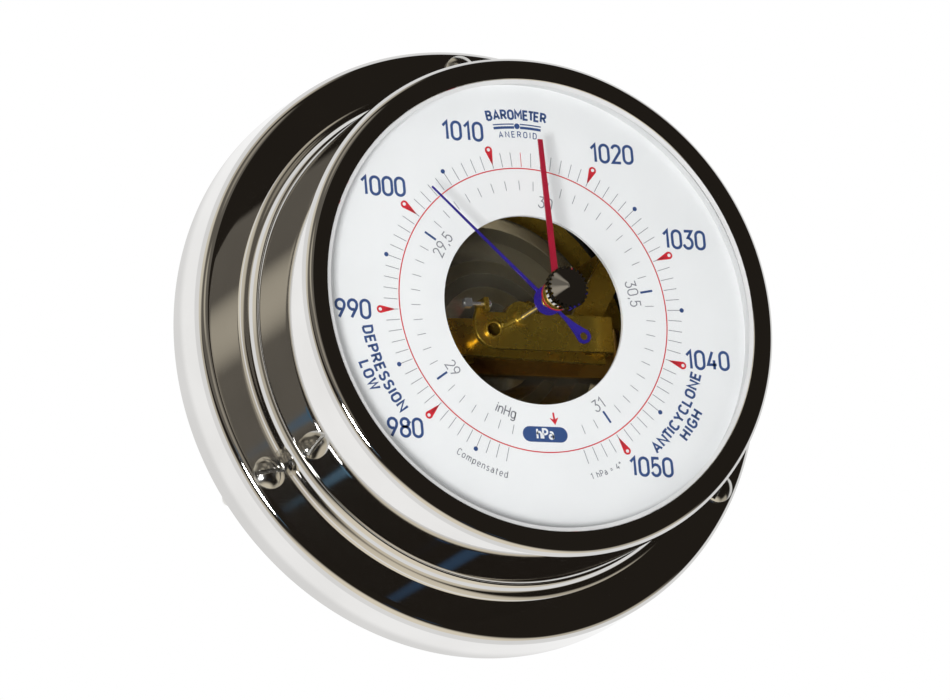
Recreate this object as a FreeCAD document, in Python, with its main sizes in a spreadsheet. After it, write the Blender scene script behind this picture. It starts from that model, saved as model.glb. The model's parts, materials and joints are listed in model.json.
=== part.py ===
import FreeCAD, Part
import math
import os
import Sketcher

# Wall aneroid barometer in a spun, polished ship's case.
#
# Every piece is drawn in the dial's own frame: X to the right, Y towards the top of the
# dial and Z out of the wall towards the reader, with Z = 0 on the wall. FACE_OUT then
# stands the instrument on the wall: the dial looks along -Y and its top points to +Z.

# Name, value in millimetres (or degrees) and what it measures.
SIZES = [
    # Case
    ("base_radius", 64.75, "flange side against the wall"),
    ("base_crease_radius", 64.45, "flange side where it starts to spread"),
    ("base_crease_level", 7.5, "height of that crease"),
    ("base_top_radius", 64.4, "flange side below its front rounding"),
    ("base_top_level", 10.7, "height where the rounding starts"),
    ("flange_edge_radius", 62.1, "outside of the flange's flat front"),
    ("flange_round", 2.3, "bend between the flange's front and side"),
    ("flange_level", 13.0, "front face of the wall flange"),
    ("flange_sheet", 2.0, "metal of the wall flange"),
    ("step_radius", 55.75, "foot of the moulding on the flange"),
    ("step_cove", 4.0, "hollow of the moulding"),
    ("ridge_radius", 54.8, "moulding where its ridge starts"),
    ("ridge_level", 15.0, "height where the ridge starts"),
    ("ridge_round", 4.2, "bend of the ridge"),
    ("ridge_top_radius", 53.5, "moulding where it meets the bezel"),
    ("drum_radius", 46.8, "outside of the drum inside the case"),
    ("drum_wall", 1.5, "wall of the drum"),
    ("drum_back", 3.0, "back end of the drum"),
    ("drum_front", 37.2, "front end of the drum"),
    ("drum_lip", 5.3, "width of the turned-in lip at the drum's back"),
    ("thread_gap", 0.05, "radial gap of screwed rings on the drum"),
    # Bezel, glass and dial
    ("side_radius", 53.25, "straight side of the bezel"),
    ("seat_level", 17.6, "joint between bezel and moulding"),
    ("rim_level", 40.9, "height where the bezel's front rounding starts"),
    ("rim_round", 1.9, "bend between the bezel's side and front"),
    ("bezel_front", 42.8, "front face of the bezel"),
    ("bezel_flat_radius", 51.35, "outside of the bezel's flat front"),
    ("lip_radius", 48.3, "inside of the bezel's flat front"),
    ("lip_depth", 0.8, "thickness of the bezel's lip"),
    ("bezel_bore", 51.3, "bezel inside, round the glass"),
    ("bezel_seat", 3.2, "height of the bezel's threaded foot ring"),
    ("crown_level", 52.2, "outside of the domed glass at its middle"),
    ("dome_radius", 118.0, "outside radius of the dome"),
    ("glass_thickness", 1.5, "thickness of the glass"),
    ("glass_radius", 50.6, "edge of the glass"),
    ("glass_hole", 2.5, "hole in the middle of the glass"),
    ("gasket_radius", 47.5, "inside of the gasket between glass and bezel"),
    ("dial_level", 38.0, "front of the dial"),
    ("dial_sheet", 0.8, "thickness of the dial"),
    ("dial_radius", 50.0, "edge of the dial"),
    ("opening_radius", 20.3, "window in the dial"),
    ("ring_inner", 48.6, "ring between dial and glass"),
    # Wall screws
    ("screw_circle", 59.4, "radius the wall screws stand on"),
    ("wall_hole", 2.3, "radius of the wall screws' holes"),
    ("wall_shank", 2.0, "radius of the wall screw's threaded part"),
    ("wall_head", 3.5, "radius of the wall screw's head"),
    ("wall_head_height", 2.1, "height of the wall screw's domed head"),
    ("wall_screw_length", 22.0, "wall screw below its head"),
    ("wall_screw_neck", 12.7, "thicker plain shank under the head"),
    # Case back and movement base
    ("back_sheet", 1.5, "thickness of the case back"),
    ("back_screw_circle", 42.6, "radius the case-back screws stand on"),
    ("plate_radius", 36.0, "movement plate"),
    ("plate_back", 7.0, "back face of the movement plate"),
    ("plate_front", 8.5, "front face of the movement plate"),
    ("feet_circle", 29.0, "radius the movement's feet stand on"),
    ("foot_radius", 2.6, "outside of a movement foot"),
    ("small_screw", 1.1, "radius of the small machine screws"),
    ("small_head", 2.1, "radius of the small screws' heads"),
    ("small_head_height", 1.2, "height of the small screws' heads"),
    ("adjuster_radius", 2.0, "adjusting screw thread"),
    ("adjuster_head", 3.0, "radius of the adjusting screw's head"),
    ("running_gap", 0.05, "radial gap of pivots"),
    # Capsule and main spring
    ("capsule_radius", 28.0, "edge of the capsule"),
    ("capsule_back", 10.6, "rear face of the capsule"),
    ("capsule_front", 16.4, "front face of the capsule"),
    ("capsule_skin", 0.35, "metal of the capsule's halves"),
    ("spring_under", 18.2, "underside of the main spring's leaf"),
    ("spring_sheet", 1.0, "thickness of the main spring"),
    ("spring_top_edge", 2.5, "upper edge of the main spring"),
    ("spring_low_edge", -8.6, "lower edge of the main spring"),
    ("spring_bend_x", 25.5, "centre of the spring's bend"),
    ("spring_end_x", -15.5, "free end"),
    ("spring_foot_x", 14.0, "end of the spring's foot"),
    ("spring_screw_x", 21.0, "screws of the spring's foot"),
    # Rocking shaft, link and bridges
    ("shaft_level", 23.5, "height of the rocking shaft"),
    ("shaft_radius", 0.9, "body of the rocking shaft"),
    ("shaft_pivot", 0.4, "radius of the rocking shaft's pivots"),
    ("side_arm", 2.72, "rocking shaft to link"),
    ("tall_arm", 5.1, "rocking shaft to the sector's tail"),
    ("link_x", -10.0, "where the link hangs"),
    ("link_pin", 0.35, "radius of the link's pins"),
    ("link_low", 20.9, "height of the pin on the spring lever"),
    ("lower_under", 25.0, "underside of the lower bridge"),
    ("lower_sheet", 1.2, "thickness of the lower bridge"),
    ("left_ear_x", -13.0, "left bearing of the rocking shaft"),
    ("right_ear_x", 20.4, "right bearing of the rocking shaft"),
    ("ear_sheet", 1.0, "thickness of the bearing ears"),
    ("pillar_radius", 2.2, "outside of a bridge pillar"),
    ("bridge_under", 30.8, "underside of the front bridge"),
    ("bridge_sheet", 1.2, "thickness of the front bridge"),
    ("bridge_left", -10.8, "left end of the front bridge"),
    ("bridge_right", 20.7, "right end of the front bridge"),
    ("bridge_top", 1.0, "upper edge of the front bridge"),
    ("bridge_low", -6.7, "lower edge of the front bridge"),
    ("eyelet_x", -6.9, "eyelet to the right of the dial's centre"),
    ("eyelet_y", -2.9, "eyelet above the dial's centre"),
    ("eyelet_radius", 1.95, "outside of the eyelet"),
    ("eyelet_bore", 1.35, "hole of the eyelet"),
    # Wheelwork
    ("tooth_module", 0.2, "module of the wheelwork"),
    ("pinion_teeth", 12, "teeth of the hand's pinion"),
    ("wheel_teeth", 144, "teeth a full wheel would have"),
    ("sector_bearing", -13.0, "degrees, direction from arbor to sector pivot"),
    ("sector_rest", 3.75, "degrees back from mid travel"),
    ("sector_half", 19.0, "degrees, half the toothed arc"),
    ("sector_under", 28.2, "underside of the toothed sector"),
    ("sector_sheet", 0.8, "thickness of the toothed sector"),
    ("tail_reach", 2.5, "sector pivot to the rocking shaft's pin"),
    ("pivot_radius", 0.5, "arbor and sector pivots"),
    # Hands, spindle and knob
    ("hand_level", 44.5, "underside of the pressure hand"),
    ("hand_sheet", 0.3, "thickness of the pressure hand"),
    ("hand_bearing", -45.7, "degrees clockwise from the top"),
    ("hand_reach", 33.6, "tip of the pressure hand"),
    ("hand_hub", 3.1, "boss of the pressure hand"),
    ("hand_bore", 1.5, "hole of the pressure hand"),
    ("tail_hole_reach", 10.45, "eye in the pressure hand's tail"),
    ("tail_radius", 1.55, "disc round that eye"),
    ("tail_hole", 0.85, "radius of that eye"),
    ("set_bearing", 2.0, "degrees clockwise from the top"),
    ("set_level", 48.6, "underside of the set hand's hub"),
    ("set_tip_level", 45.15, "underside of the set hand's blade"),
    ("set_sheet", 0.35, "thickness of the set hand"),
    ("set_reach", 34.6, "tip of the set hand"),
    ("set_hub", 3.3, "boss of the set hand"),
    ("spindle_radius", 1.2, "body of the set spindle"),
    ("bush_radius", 2.4, "outside of the bush in the glass"),
    ("knob_radius", 4.45, "tips of the knob's teeth"),
    ("knob_back", 52.75, "back face of the knob"),
    ("knob_rim", 54.8, "front edge of the knob's teeth"),
    ("knob_peak", 56.2, "tip of the knob's cone"),
    ("knob_tooth", 0.55, "depth of the knob's teeth"),
    ("knob_teeth", 26, "teeth round the knob"),
]

FACE_OUT = FreeCAD.Placement(FreeCAD.Vector(), FreeCAD.Rotation(FreeCAD.Vector(1, 0, 0), 90))
THREE_UP = [0, 120, 240]


class Size:
    """A length that knows both its value and the spreadsheet expression behind it."""

    def __init__(self, value, text=None):
        self.value = float(value)
        self.text = text or "%.10g" % value

    def joined(self, other, sign, value):
        other = sized(other)
        return Size(value, "(%s %s %s)" % (self.text, sign, other.text))

    def __add__(self, other):
        return self.joined(other, "+", self.value + sized(other).value)

    def __sub__(self, other):
        return self.joined(other, "-", self.value - sized(other).value)

    def __mul__(self, other):
        return self.joined(other, "*", self.value * sized(other).value)

    def __truediv__(self, other):
        return self.joined(other, "/", self.value / sized(other).value)

    def __neg__(self):
        return Size(-self.value, "(0 - %s)" % self.text)


def sized(number):
    return number if isinstance(number, Size) else Size(number)


doc = FreeCAD.newDocument("Barometer")
sheet = doc.addObject("Spreadsheet::Sheet", "Sizes")
d = {}
for row, (alias, value, meaning) in enumerate(SIZES, start=1):
    sheet.set("A%d" % row, alias)
    sheet.set("B%d" % row, "%.10g" % value)
    sheet.setAlias("B%d" % row, alias)
    sheet.set("C%d" % row, meaning)
    d[alias] = Size(value, "Sizes." + alias)
doc.recompute()


def val(alias):
    return d[alias].value


def spun(degrees, x=0.0, y=0.0):
    """Placement in the dial frame: a turn about Z, then a shift."""
    turn = FreeCAD.Rotation(FreeCAD.Vector(0, 0, 1), degrees)
    return FreeCAD.Placement(FreeCAD.Vector(x, y, 0), turn)


def rooted(a, b):
    """Square root of the difference of two squares, as a Size."""
    text = "sqrt(%s ^ 2 - %s ^ 2)" % (a.text, b.text)
    return Size(math.sqrt(a.value ** 2 - b.value ** 2), text)


# ---------------------------------------------------------------- drawing helpers

def new_body(name, placement=None):
    body = doc.addObject("PartDesign::Body", name)
    body.Label = name
    body.Placement = FACE_OUT.multiply(placement or FreeCAD.Placement())
    return body


def plane_of(body, role):
    return [f for f in body.Origin.OriginFeatures if f.Role == role][0]


def pin_point(sketch, index, end, point):
    """Fix one end of an edge at a point given in Sizes."""
    for kind, axis, length in (("DistanceX", -2, point[0]), ("DistanceY", -1, point[1])):
        if length.value == 0:
            sketch.addConstraint(Sketcher.Constraint("PointOnObject", index, end, axis))
            continue
        made = Sketcher.Constraint(kind, -1, 1, index, end, length.value)
        place = sketch.addConstraint(made)
        sketch.setExpression("Constraints[%d]" % place, length.text)


def arc_between(start, end, radius):
    """The shorter arc from start to end; a negative radius bends it to the other side."""
    chord = end - start
    middle = (start + end) * 0.5
    side = FreeCAD.Vector(-chord.y, chord.x, 0).normalize()
    reach = math.sqrt(max(radius ** 2 - (chord.Length / 2) ** 2, 0))
    centre = middle + side * math.copysign(reach, radius)
    first = math.atan2(start.y - centre.y, start.x - centre.x)
    last = math.atan2(end.y - centre.y, end.x - centre.x)
    circle = Part.Circle(centre, FreeCAD.Vector(0, 0, 1), abs(radius))
    if radius > 0:
        return Part.ArcOfCircle(circle, first, last), 1, 2
    return Part.ArcOfCircle(circle, last, first), 2, 1


def outline(body, name, points, role="XZ_Plane", level=None, arcs=None):
    """Closed outline through points; arcs maps an edge's number to its bend radius."""
    arcs = arcs or {}
    points = [(sized(x), sized(y)) for x, y in points]
    sketch = body.newObject("Sketcher::SketchObject", name)
    sketch.AttachmentSupport = (plane_of(body, role), [""])
    sketch.MapMode = "FlatFace"
    if level is not None:
        sketch.setExpression("AttachmentOffset.Base.z", sized(level).text)
    add_loop(sketch, points, arcs)
    return sketch


def add_loop(sketch, points, arcs):
    corners = [FreeCAD.Vector(x.value, y.value, 0) for x, y in points]
    ends = []
    for number, start in enumerate(corners):
        end = corners[(number + 1) % len(corners)]
        if number in arcs:
            edge, first, last = arc_between(start, end, sized(arcs[number]).value)
        else:
            edge, first, last = Part.LineSegment(start, end), 1, 2
        ends.append((sketch.addGeometry(edge, False), first, last))
    for number, (index, first, last) in enumerate(ends):
        following = ends[(number + 1) % len(ends)]
        joint = Sketcher.Constraint("Coincident", index, last, following[0], following[1])
        sketch.addConstraint(joint)
        pin_point(sketch, index, first, points[number])
        if number in arcs:
            bend_arc(sketch, index, points[number], following_point(points, number),
                     sized(arcs[number]))


def following_point(points, number):
    return points[(number + 1) % len(points)]


def bend_arc(sketch, index, start, end, bend):
    """Fix an arc's size: by its radius, or by its centre when it is a half circle."""
    across = end[0].value - start[0].value
    along = end[1].value - start[1].value
    if math.hypot(across, along) / 2 < abs(bend.value) - 0.001:
        place = sketch.addConstraint(Sketcher.Constraint("Radius", index, abs(bend.value)))
        sketch.setExpression("Constraints[%d]" % place, "abs(%s)" % bend.text)
        return
    kind, fixed = ("DistanceX", start[0]) if abs(along) > abs(across) else ("DistanceY", start[1])
    place = sketch.addConstraint(Sketcher.Constraint(kind, -1, 1, index, 3, fixed.value))
    sketch.setExpression("Constraints[%d]" % place, fixed.text)


def circles(body, name, centres, radius, level, role="XY_Plane"):
    """Round holes or pegs, all of one radius, drawn at one level."""
    sketch = body.newObject("Sketcher::SketchObject", name)
    sketch.AttachmentSupport = (plane_of(body, role), [""])
    sketch.MapMode = "FlatFace"
    sketch.setExpression("AttachmentOffset.Base.z", sized(level).text)
    for x, y in centres:
        x, y = sized(x), sized(y)
        ring = Part.Circle(FreeCAD.Vector(x.value, y.value, 0), FreeCAD.Vector(0, 0, 1),
                           sized(radius).value)
        index = sketch.addGeometry(ring, False)
        pin_point(sketch, index, 3, (x, y))
        place = sketch.addConstraint(Sketcher.Constraint("Radius", index, sized(radius).value))
        sketch.setExpression("Constraints[%d]" % place, sized(radius).text)
    return sketch


def revolve(body, sketch):
    feature = body.newObject("PartDesign::Revolution", sketch.Name + "_turned")
    feature.Profile = sketch
    feature.ReferenceAxis = (sketch, ["V_Axis"])
    feature.Angle = 360
    body.Tip = feature
    return feature


def pad(body, sketch, height):
    feature = body.newObject("PartDesign::Pad", sketch.Name + "_pad")
    feature.Profile = sketch
    feature.setExpression("Length", sized(height).text)
    body.Tip = feature
    return feature


def pocket(body, sketch, depth):
    """Cuts downwards, against the sketch's own direction."""
    feature = body.newObject("PartDesign::Pocket", sketch.Name + "_cut")
    feature.Profile = sketch
    feature.setExpression("Length", sized(depth).text)
    body.Tip = feature
    return feature


def turned(name, points, arcs=None, placement=None):
    body = new_body(name, placement)
    revolve(body, outline(body, name + "_profile", points, arcs=arcs))
    return body


def drilled(body, name, centres, radius, top, depth):
    """Holes along Z, cut downwards from a level."""
    pocket(body, circles(body, name, centres, radius, top), depth)


def side_drilled(body, name, centres, radius, start, depth):
    """Holes along X at (y, level) centres, cut towards -X from start."""
    pocket(body, circles(body, name, centres, radius, start, role="YZ_Plane"), depth)


def side_pin(body, name, start, y, level, radius, length):
    """Round pin along +X from start."""
    pad(body, circles(body, name, [(y, level)], radius, start, role="YZ_Plane"), length)


def on_circle(radius, degrees):
    """Points on a circle, angles counted clockwise from the top of the dial."""
    radius = sized(radius)
    turns = [math.radians(angle) for angle in degrees]
    return [(radius * math.sin(turn), radius * math.cos(turn)) for turn in turns]


def tube(name, inner, outer, low, high, placement=None):
    inner, outer, low, high = sized(inner), sized(outer), sized(low), sized(high)
    corners = [(inner, low), (outer, low), (outer, high), (inner, high)]
    return turned(name, corners, placement=placement)


def group(name, model, placements):
    """One node holding a copy of the model at each placement of the dial frame."""
    model.Label = name + "_model"
    copies = []
    home = model.Placement.inverse()
    for number, placement in enumerate(placements, start=1):
        copy = doc.addObject("Part::Compound", "%s_%d" % (name, number))
        copy.Links = [model]
        copy.Placement = FACE_OUT.multiply(placement).multiply(home)
        copies.append(copy)
    whole = doc.addObject("Part::Compound", name)
    whole.Links = copies
    whole.Label = name
    return whole


def freeform(name, shape, placement=None):
    piece = doc.addObject("Part::Feature", name)
    piece.Shape = shape
    piece.Label = name
    piece.Placement = FACE_OUT.multiply(placement or FreeCAD.Placement())
    return piece


def prism(corners, low, height):
    """Straight-sided solid over a polygon given as (x, y) pairs."""
    ring = [FreeCAD.Vector(x, y, low) for x, y in corners]
    wire = Part.makePolygon(ring + ring[:1])
    return Part.Face(wire).extrude(FreeCAD.Vector(0, 0, height))


def polar(radius, degrees):
    turn = math.radians(degrees)
    return radius * math.cos(turn), radius * math.sin(turn)


# ---------------------------------------------------------------- case

def wall_flange():
    sheet_metal = d["flange_sheet"]
    inner_edge = d["drum_radius"] + d["thread_gap"]
    under = d["flange_level"] - sheet_metal
    corners = [
        (d["base_radius"], 0),
        (d["base_crease_radius"], d["base_crease_level"]),
        (d["base_top_radius"], d["base_top_level"]),
        (d["flange_edge_radius"], d["flange_level"]),
        (inner_edge, d["flange_level"]),
        (inner_edge, under),
        (d["base_top_radius"] - sheet_metal, under),
        (d["base_crease_radius"] - sheet_metal, d["base_crease_level"]),
        (d["base_radius"] - sheet_metal, 0),
    ]
    body = turned("wall_flange", corners, arcs={2: d["flange_round"]})
    places = on_circle(d["screw_circle"], THREE_UP)
    drilled(body, "wall_holes", places, d["wall_hole"], d["flange_level"] + 1, sheet_metal + 2)


def case_body():
    """Drum with a turned-in lip at its back and a hollow moulding that seats the bezel."""
    metal = d["drum_wall"]
    inner = d["drum_radius"] - metal
    lip = inner - d["drum_lip"]
    seat = d["seat_level"]
    corners = [
        (lip, d["drum_back"]),
        (d["drum_radius"], d["drum_back"]),
        (d["drum_radius"], seat - metal),
        (d["ridge_top_radius"] - metal, seat - metal),
        (d["ridge_radius"] - metal, d["ridge_level"]),
        (d["step_radius"] - metal, d["flange_level"]),
        (d["step_radius"], d["flange_level"]),
        (d["ridge_radius"], d["ridge_level"]),
        (d["ridge_top_radius"], seat),
        (d["drum_radius"], seat),
        (d["drum_radius"], d["drum_front"]),
        (inner, d["drum_front"]),
        (inner, d["drum_back"] + metal),
        (lip, d["drum_back"] + metal),
    ]
    body = turned("case_body", corners, arcs={6: -d["step_cove"], 7: d["ridge_round"]})
    places = on_circle(d["back_screw_circle"], [60, 180, 300])
    drilled(body, "lip_holes", places, d["small_screw"], d["drum_back"] + 2, 2.5)


def flange_nut():
    top = d["flange_level"] - d["flange_sheet"]
    inner = d["drum_radius"] + d["thread_gap"]
    body = turned("flange_nut", [(inner, top - 2.2), (50.6, top - 2.2), (50.6, top), (inner, top)])
    places = on_circle(48.9, [90, 270])
    drilled(body, "spanner_holes", places, 1.0, top - 1.0, 1.5)


def bezel():
    """Deep straight-sided ring that screws down over the drum and holds the glass."""
    foot = d["drum_radius"] + d["thread_gap"]
    lip_under = d["bezel_front"] - d["lip_depth"]
    corners = [
        (foot, d["seat_level"]),
        (d["side_radius"], d["seat_level"]),
        (d["side_radius"], d["rim_level"]),
        (d["bezel_flat_radius"], d["bezel_front"]),
        (d["lip_radius"], d["bezel_front"]),
        (d["lip_radius"], lip_under),
        (d["bezel_bore"], lip_under),
        (d["bezel_bore"], d["seat_level"] + d["bezel_seat"] + 1.0),
        (foot, d["seat_level"] + d["bezel_seat"]),
    ]
    turned("bezel", corners, arcs={2: d["rim_round"]})


def dome_level(radius, skin):
    """Height of the dome's surface, a skin's depth inside it, at a distance from the axis."""
    centre = d["crown_level"] - d["dome_radius"]
    return centre + rooted(d["dome_radius"] - skin, sized(radius))


def glass():
    thick = d["glass_thickness"]
    hole, edge = d["glass_hole"], d["glass_radius"]
    corners = [
        (hole, dome_level(hole, thick)),
        (edge, dome_level(edge, thick)),
        (edge, dome_level(edge, sized(0))),
        (hole, dome_level(hole, sized(0))),
    ]
    arcs = {0: -(d["dome_radius"] - thick), 2: d["dome_radius"]}
    turned("glass", corners, arcs=arcs)


def glass_gasket():
    inner, outer = d["gasket_radius"], d["bezel_bore"]
    lip_under = d["bezel_front"] - d["lip_depth"]
    corners = [
        (inner, dome_level(inner, sized(0))),
        (d["glass_radius"], dome_level(d["glass_radius"], sized(0))),
        (outer, dome_level(d["glass_radius"], sized(0))),
        (outer, lip_under),
        (d["lip_radius"], lip_under),
        (d["lip_radius"], lip_under + 0.55),
        (inner, dome_level(inner, sized(0)) + 0.12),
    ]
    turned("glass_gasket", corners, arcs={0: -d["dome_radius"]})


def dial_ring():
    inner, outer = d["ring_inner"], d["glass_radius"]
    thick = d["glass_thickness"]
    corners = [
        (inner, d["dial_level"]),
        (outer, d["dial_level"]),
        (outer, dome_level(outer, thick)),
        (inner, dome_level(inner, thick)),
    ]
    turned("dial_ring", corners, arcs={2: d["dome_radius"] - thick})


def dial_plate():
    back = d["dial_level"] - d["dial_sheet"]
    tube("dial_plate", d["opening_radius"], d["dial_radius"], back, d["dial_level"])


def case_back():
    back = d["drum_back"] - d["back_sheet"]
    hole = d["adjuster_head"] + 0.6
    body = tube("case_back", hole, d["drum_radius"], back, d["drum_back"])
    reach = d["back_sheet"] + 2
    front = d["drum_back"] + 1
    screws = on_circle(d["back_screw_circle"], [60, 180, 300])
    feet = on_circle(d["feet_circle"], [30, 150, 270])
    drilled(body, "screw_holes", screws + feet, d["small_screw"], front, reach)
    drilled(body, "vent_holes", on_circle(20.0, [0, 120, 240]), 1.0, front, reach)


# ---------------------------------------------------------------- screws

def slotted_screw(name, shank, length, head, head_height, dome=False, slot=0.8, neck=None):
    """Screw pointing down -Z with the underside of its head at Z = 0."""
    body = new_body(name)
    shank, length, head = sized(shank), sized(length), sized(head)
    head_height = sized(head_height)
    corners = [(0, -length), (shank * 0.6, -length), (shank, -length + shank)]
    if neck is not None:
        corners += [(shank, -sized(neck)), (shank + 0.15, -sized(neck)), (shank + 0.15, 0)]
    else:
        corners += [(shank, 0)]
    corners += [(head, 0), (head, head_height * 0.3), (0, head_height)]
    dome_edge = len(corners) - 2
    if dome:
        rise, half = head_height.value * 0.7, head.value
        arcs = {dome_edge: (half ** 2 + rise ** 2) / (2 * rise)}
    else:
        arcs = {dome_edge: head.value * 4}
    revolve(body, outline(body, name + "_profile", corners, arcs=arcs))
    across = head + 1
    half_slot = sized(slot) / 2
    cut = [(-across, -half_slot), (across, -half_slot), (across, half_slot), (-across, half_slot)]
    sketch = outline(body, name + "_slot", cut, role="XY_Plane", level=head_height + 1)
    pocket(body, sketch, head_height * 0.55 + 1)
    return body


def at_level(level, flip=False):
    """Placement that puts a screw's head on a level, driven from the front or the back."""
    turn = FreeCAD.Rotation(FreeCAD.Vector(1, 0, 0), 180 if flip else 0)
    return FreeCAD.Placement(FreeCAD.Vector(0, 0, level), turn)


def screws_on(centres, level, flip=False, slots=None):
    places = []
    for number, (x, y) in enumerate(centres):
        slot = slots[number] if slots else 35 + 50 * number
        shift = spun(slot, sized(x).value, sized(y).value)
        places.append(shift.multiply(at_level(level, flip)))
    return places


def wall_screws():
    model = slotted_screw("wall_screw", d["wall_shank"], d["wall_screw_length"], d["wall_head"],
                          d["wall_head_height"], dome=True, slot=0.9,
                          neck=d["wall_screw_neck"])
    centres = on_circle(d["screw_circle"], THREE_UP)
    group("wall_screws", model, screws_on(centres, val("flange_level"), slots=[20, 62, 8]))


def small_screws(name, length, centres, level, flip=False):
    model = slotted_screw(name + "_one", d["small_screw"], length, d["small_head"],
                          d["small_head_height"], slot=0.5)
    group(name, model, screws_on(centres, level, flip))


def case_back_screws():
    centres = on_circle(d["back_screw_circle"], [60, 180, 300])
    small_screws("case_back_screws", 3.2, centres, val("drum_back") - val("back_sheet"), True)


def movement_screws():
    centres = on_circle(d["feet_circle"], [30, 150, 270])
    small_screws("movement_screws", 7.0, centres, val("drum_back") - val("back_sheet"), True)


# ---------------------------------------------------------------- movement base

PILLARS = [(-31.5, -3.0), (27.0, 17.0)]


def movement_plate():
    back, front = d["plate_back"], d["plate_front"]
    bore = d["adjuster_radius"] + d["running_gap"]
    body = tube("movement_plate", bore, d["plate_radius"], back, front)
    depth = d["plate_front"] - d["plate_back"] + 2
    spring_holes = [(d["spring_screw_x"], -6.0), (d["spring_screw_x"], 0.0)]
    holes = on_circle(d["feet_circle"], [30, 150, 270]) + PILLARS + spring_holes
    drilled(body, "plate_holes", holes, d["small_screw"], front + 1, depth)
    drilled(body, "light_holes", [(-14, 20), (14, -24), (-14, -24)], 4.0, front + 1, depth)


def movement_feet():
    model = tube("movement_foot", d["small_screw"] + 0.05, d["foot_radius"], 0,
                 d["plate_back"] - d["drum_back"])
    centres = on_circle(d["feet_circle"], [30, 150, 270])
    level = val("drum_back")
    group("movement_feet", model, screws_on(centres, level))


def adjusting_screw():
    """Slotted screw reached through the case back; it carries the back of the capsule."""
    body = new_body("adjusting_screw")
    back = d["drum_back"] - d["back_sheet"]
    corners = [
        (0, back),
        (d["adjuster_head"], back),
        (d["adjuster_head"], d["plate_back"] - 2.6),
        (d["adjuster_radius"], d["plate_back"] - 2.6),
        (d["adjuster_radius"], d["capsule_back"] - 1.1),
        (0, d["capsule_back"] - 1.1),
    ]
    revolve(body, outline(body, "adjuster_profile", corners))
    cut = [(-3.5, -0.4), (3.5, -0.4), (3.5, 0.4), (-3.5, 0.4)]
    sketch = outline(body, "adjuster_slot", cut, role="XY_Plane", level=back + 1.2)
    pocket(body, sketch, 2.0)


def capsule_half(name, level, facing):
    """Thin corrugated diaphragm; facing is +1 for the front half and -1 for the back half."""
    middle = (d["capsule_back"] + d["capsule_front"]) / 2
    skin = d["capsule_skin"]
    crests = [(8.0, 0.0), (11.4, 0.6), (14.2, 0.0), (17.0, 0.7), (21.0, 0.0), (24.4, 0.8)]
    outer = [(sized(r), level - drop * facing) for r, drop in crests]
    inner = [(r, z - skin * facing) for r, z in reversed(outer)]
    radius = d["capsule_radius"]
    corners = [(sized(0), level)] + outer
    corners += [
        (radius - 0.6, middle + 0.7 * facing),
        (radius, middle + 0.35 * facing),
        (radius, middle),
        (radius - 1.4, middle),
    ]
    corners += inner + [(sized(0), level - skin * facing)]
    if facing < 0:
        corners.reverse()
    turned(name, corners)


def capsule():
    capsule_half("capsule_front", d["capsule_front"], 1)
    capsule_half("capsule_rear", d["capsule_back"], -1)
    back = d["capsule_back"]
    turned("capsule_stud", [(0, back - 1.1), (3.2, back - 1.1), (3.2, back), (0, back)])
    front, leaf = d["capsule_front"], d["spring_under"]
    thick = d["spring_sheet"]
    corners = [
        (0, front),
        (3.4, front),
        (3.4, front + 0.6),
        (2.3, front + 0.6),
        (2.3, leaf),
        (1.4, leaf),
        (1.4, leaf + thick + 1.6),
        (0, leaf + thick + 1.6),
    ]
    turned("capsule_post", corners)
    hexagon = [polar(2.6, 60 * step) for step in range(6)]
    nut = prism(hexagon, leaf.value + thick.value, 1.2)
    bore = Part.makeCylinder(1.4, 6, FreeCAD.Vector(0, 0, leaf.value))
    freeform("capsule_nut", nut.cut(bore))


def main_spring():
    """C-shaped leaf: its foot lies on the plate and its top leaf holds the capsule open."""
    body = new_body("main_spring")
    thick = d["spring_sheet"]
    under, top = d["spring_under"], d["spring_under"] + thick
    foot, bend = d["plate_front"], d["spring_bend_x"]
    bend_radius = (top - foot) / 2
    corners = [
        (d["spring_end_x"], under),
        (bend, under),
        (bend, foot + thick),
        (d["spring_foot_x"], foot + thick),
        (d["spring_foot_x"], foot),
        (bend, foot),
        (bend, top),
        (d["spring_end_x"], top),
    ]
    arcs = {1: -(bend_radius - thick), 5: bend_radius}
    sketch = outline(body, "spring_profile", corners, level=-d["spring_top_edge"], arcs=arcs)
    pad(body, sketch, d["spring_top_edge"] - d["spring_low_edge"])
    drilled(body, "post_hole", [(0, 0)], 1.5, top + 1, thick + 2)
    holes = [(d["spring_screw_x"], -6.0), (d["spring_screw_x"], 0.0)]
    drilled(body, "foot_holes", holes, d["small_screw"], foot + thick + 0.3, thick + 0.6)


def spring_screws():
    holes = [(d["spring_screw_x"], -6.0), (d["spring_screw_x"], 0.0)]
    small_screws("spring_screws", 2.5, holes, val("plate_back"), True)


def spring_lever():
    """Two-metal strip on the leaf's free end, with the lug and pin that drive the link."""
    body = new_body("spring_lever")
    top = d["spring_under"] + d["spring_sheet"]
    end = d["spring_end_x"]
    link_y = pivot_y() + d["side_arm"]
    strip = [(end, -6.5), (-6.0, -6.5), (-6.0, 1.6), (end, 1.6)]
    pad(body, outline(body, "strip", strip, role="XY_Plane", level=top), 0.7)
    lug_x = d["link_x"]
    lug = [(lug_x - 0.4, link_y - 0.8), (lug_x + 0.4, link_y - 0.8),
           (lug_x + 0.4, link_y + 0.8), (lug_x - 0.4, link_y + 0.8)]
    lug_height = d["link_low"] - top + 0.7
    pad(body, outline(body, "lug", lug, role="XY_Plane", level=top), lug_height)
    side_pin(body, "lug_pin", d["link_x"] + 0.3, link_y, d["link_low"], d["link_pin"], 1.1)


# ---------------------------------------------------------------- bridges and rocking shaft

def gear_distance():
    return d["tooth_module"] * (d["pinion_teeth"] + d["wheel_teeth"]) / 2


def pivot_x():
    return gear_distance() * math.cos(math.radians(val("sector_bearing")))


def pivot_y():
    return gear_distance() * math.sin(math.radians(val("sector_bearing")))


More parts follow.
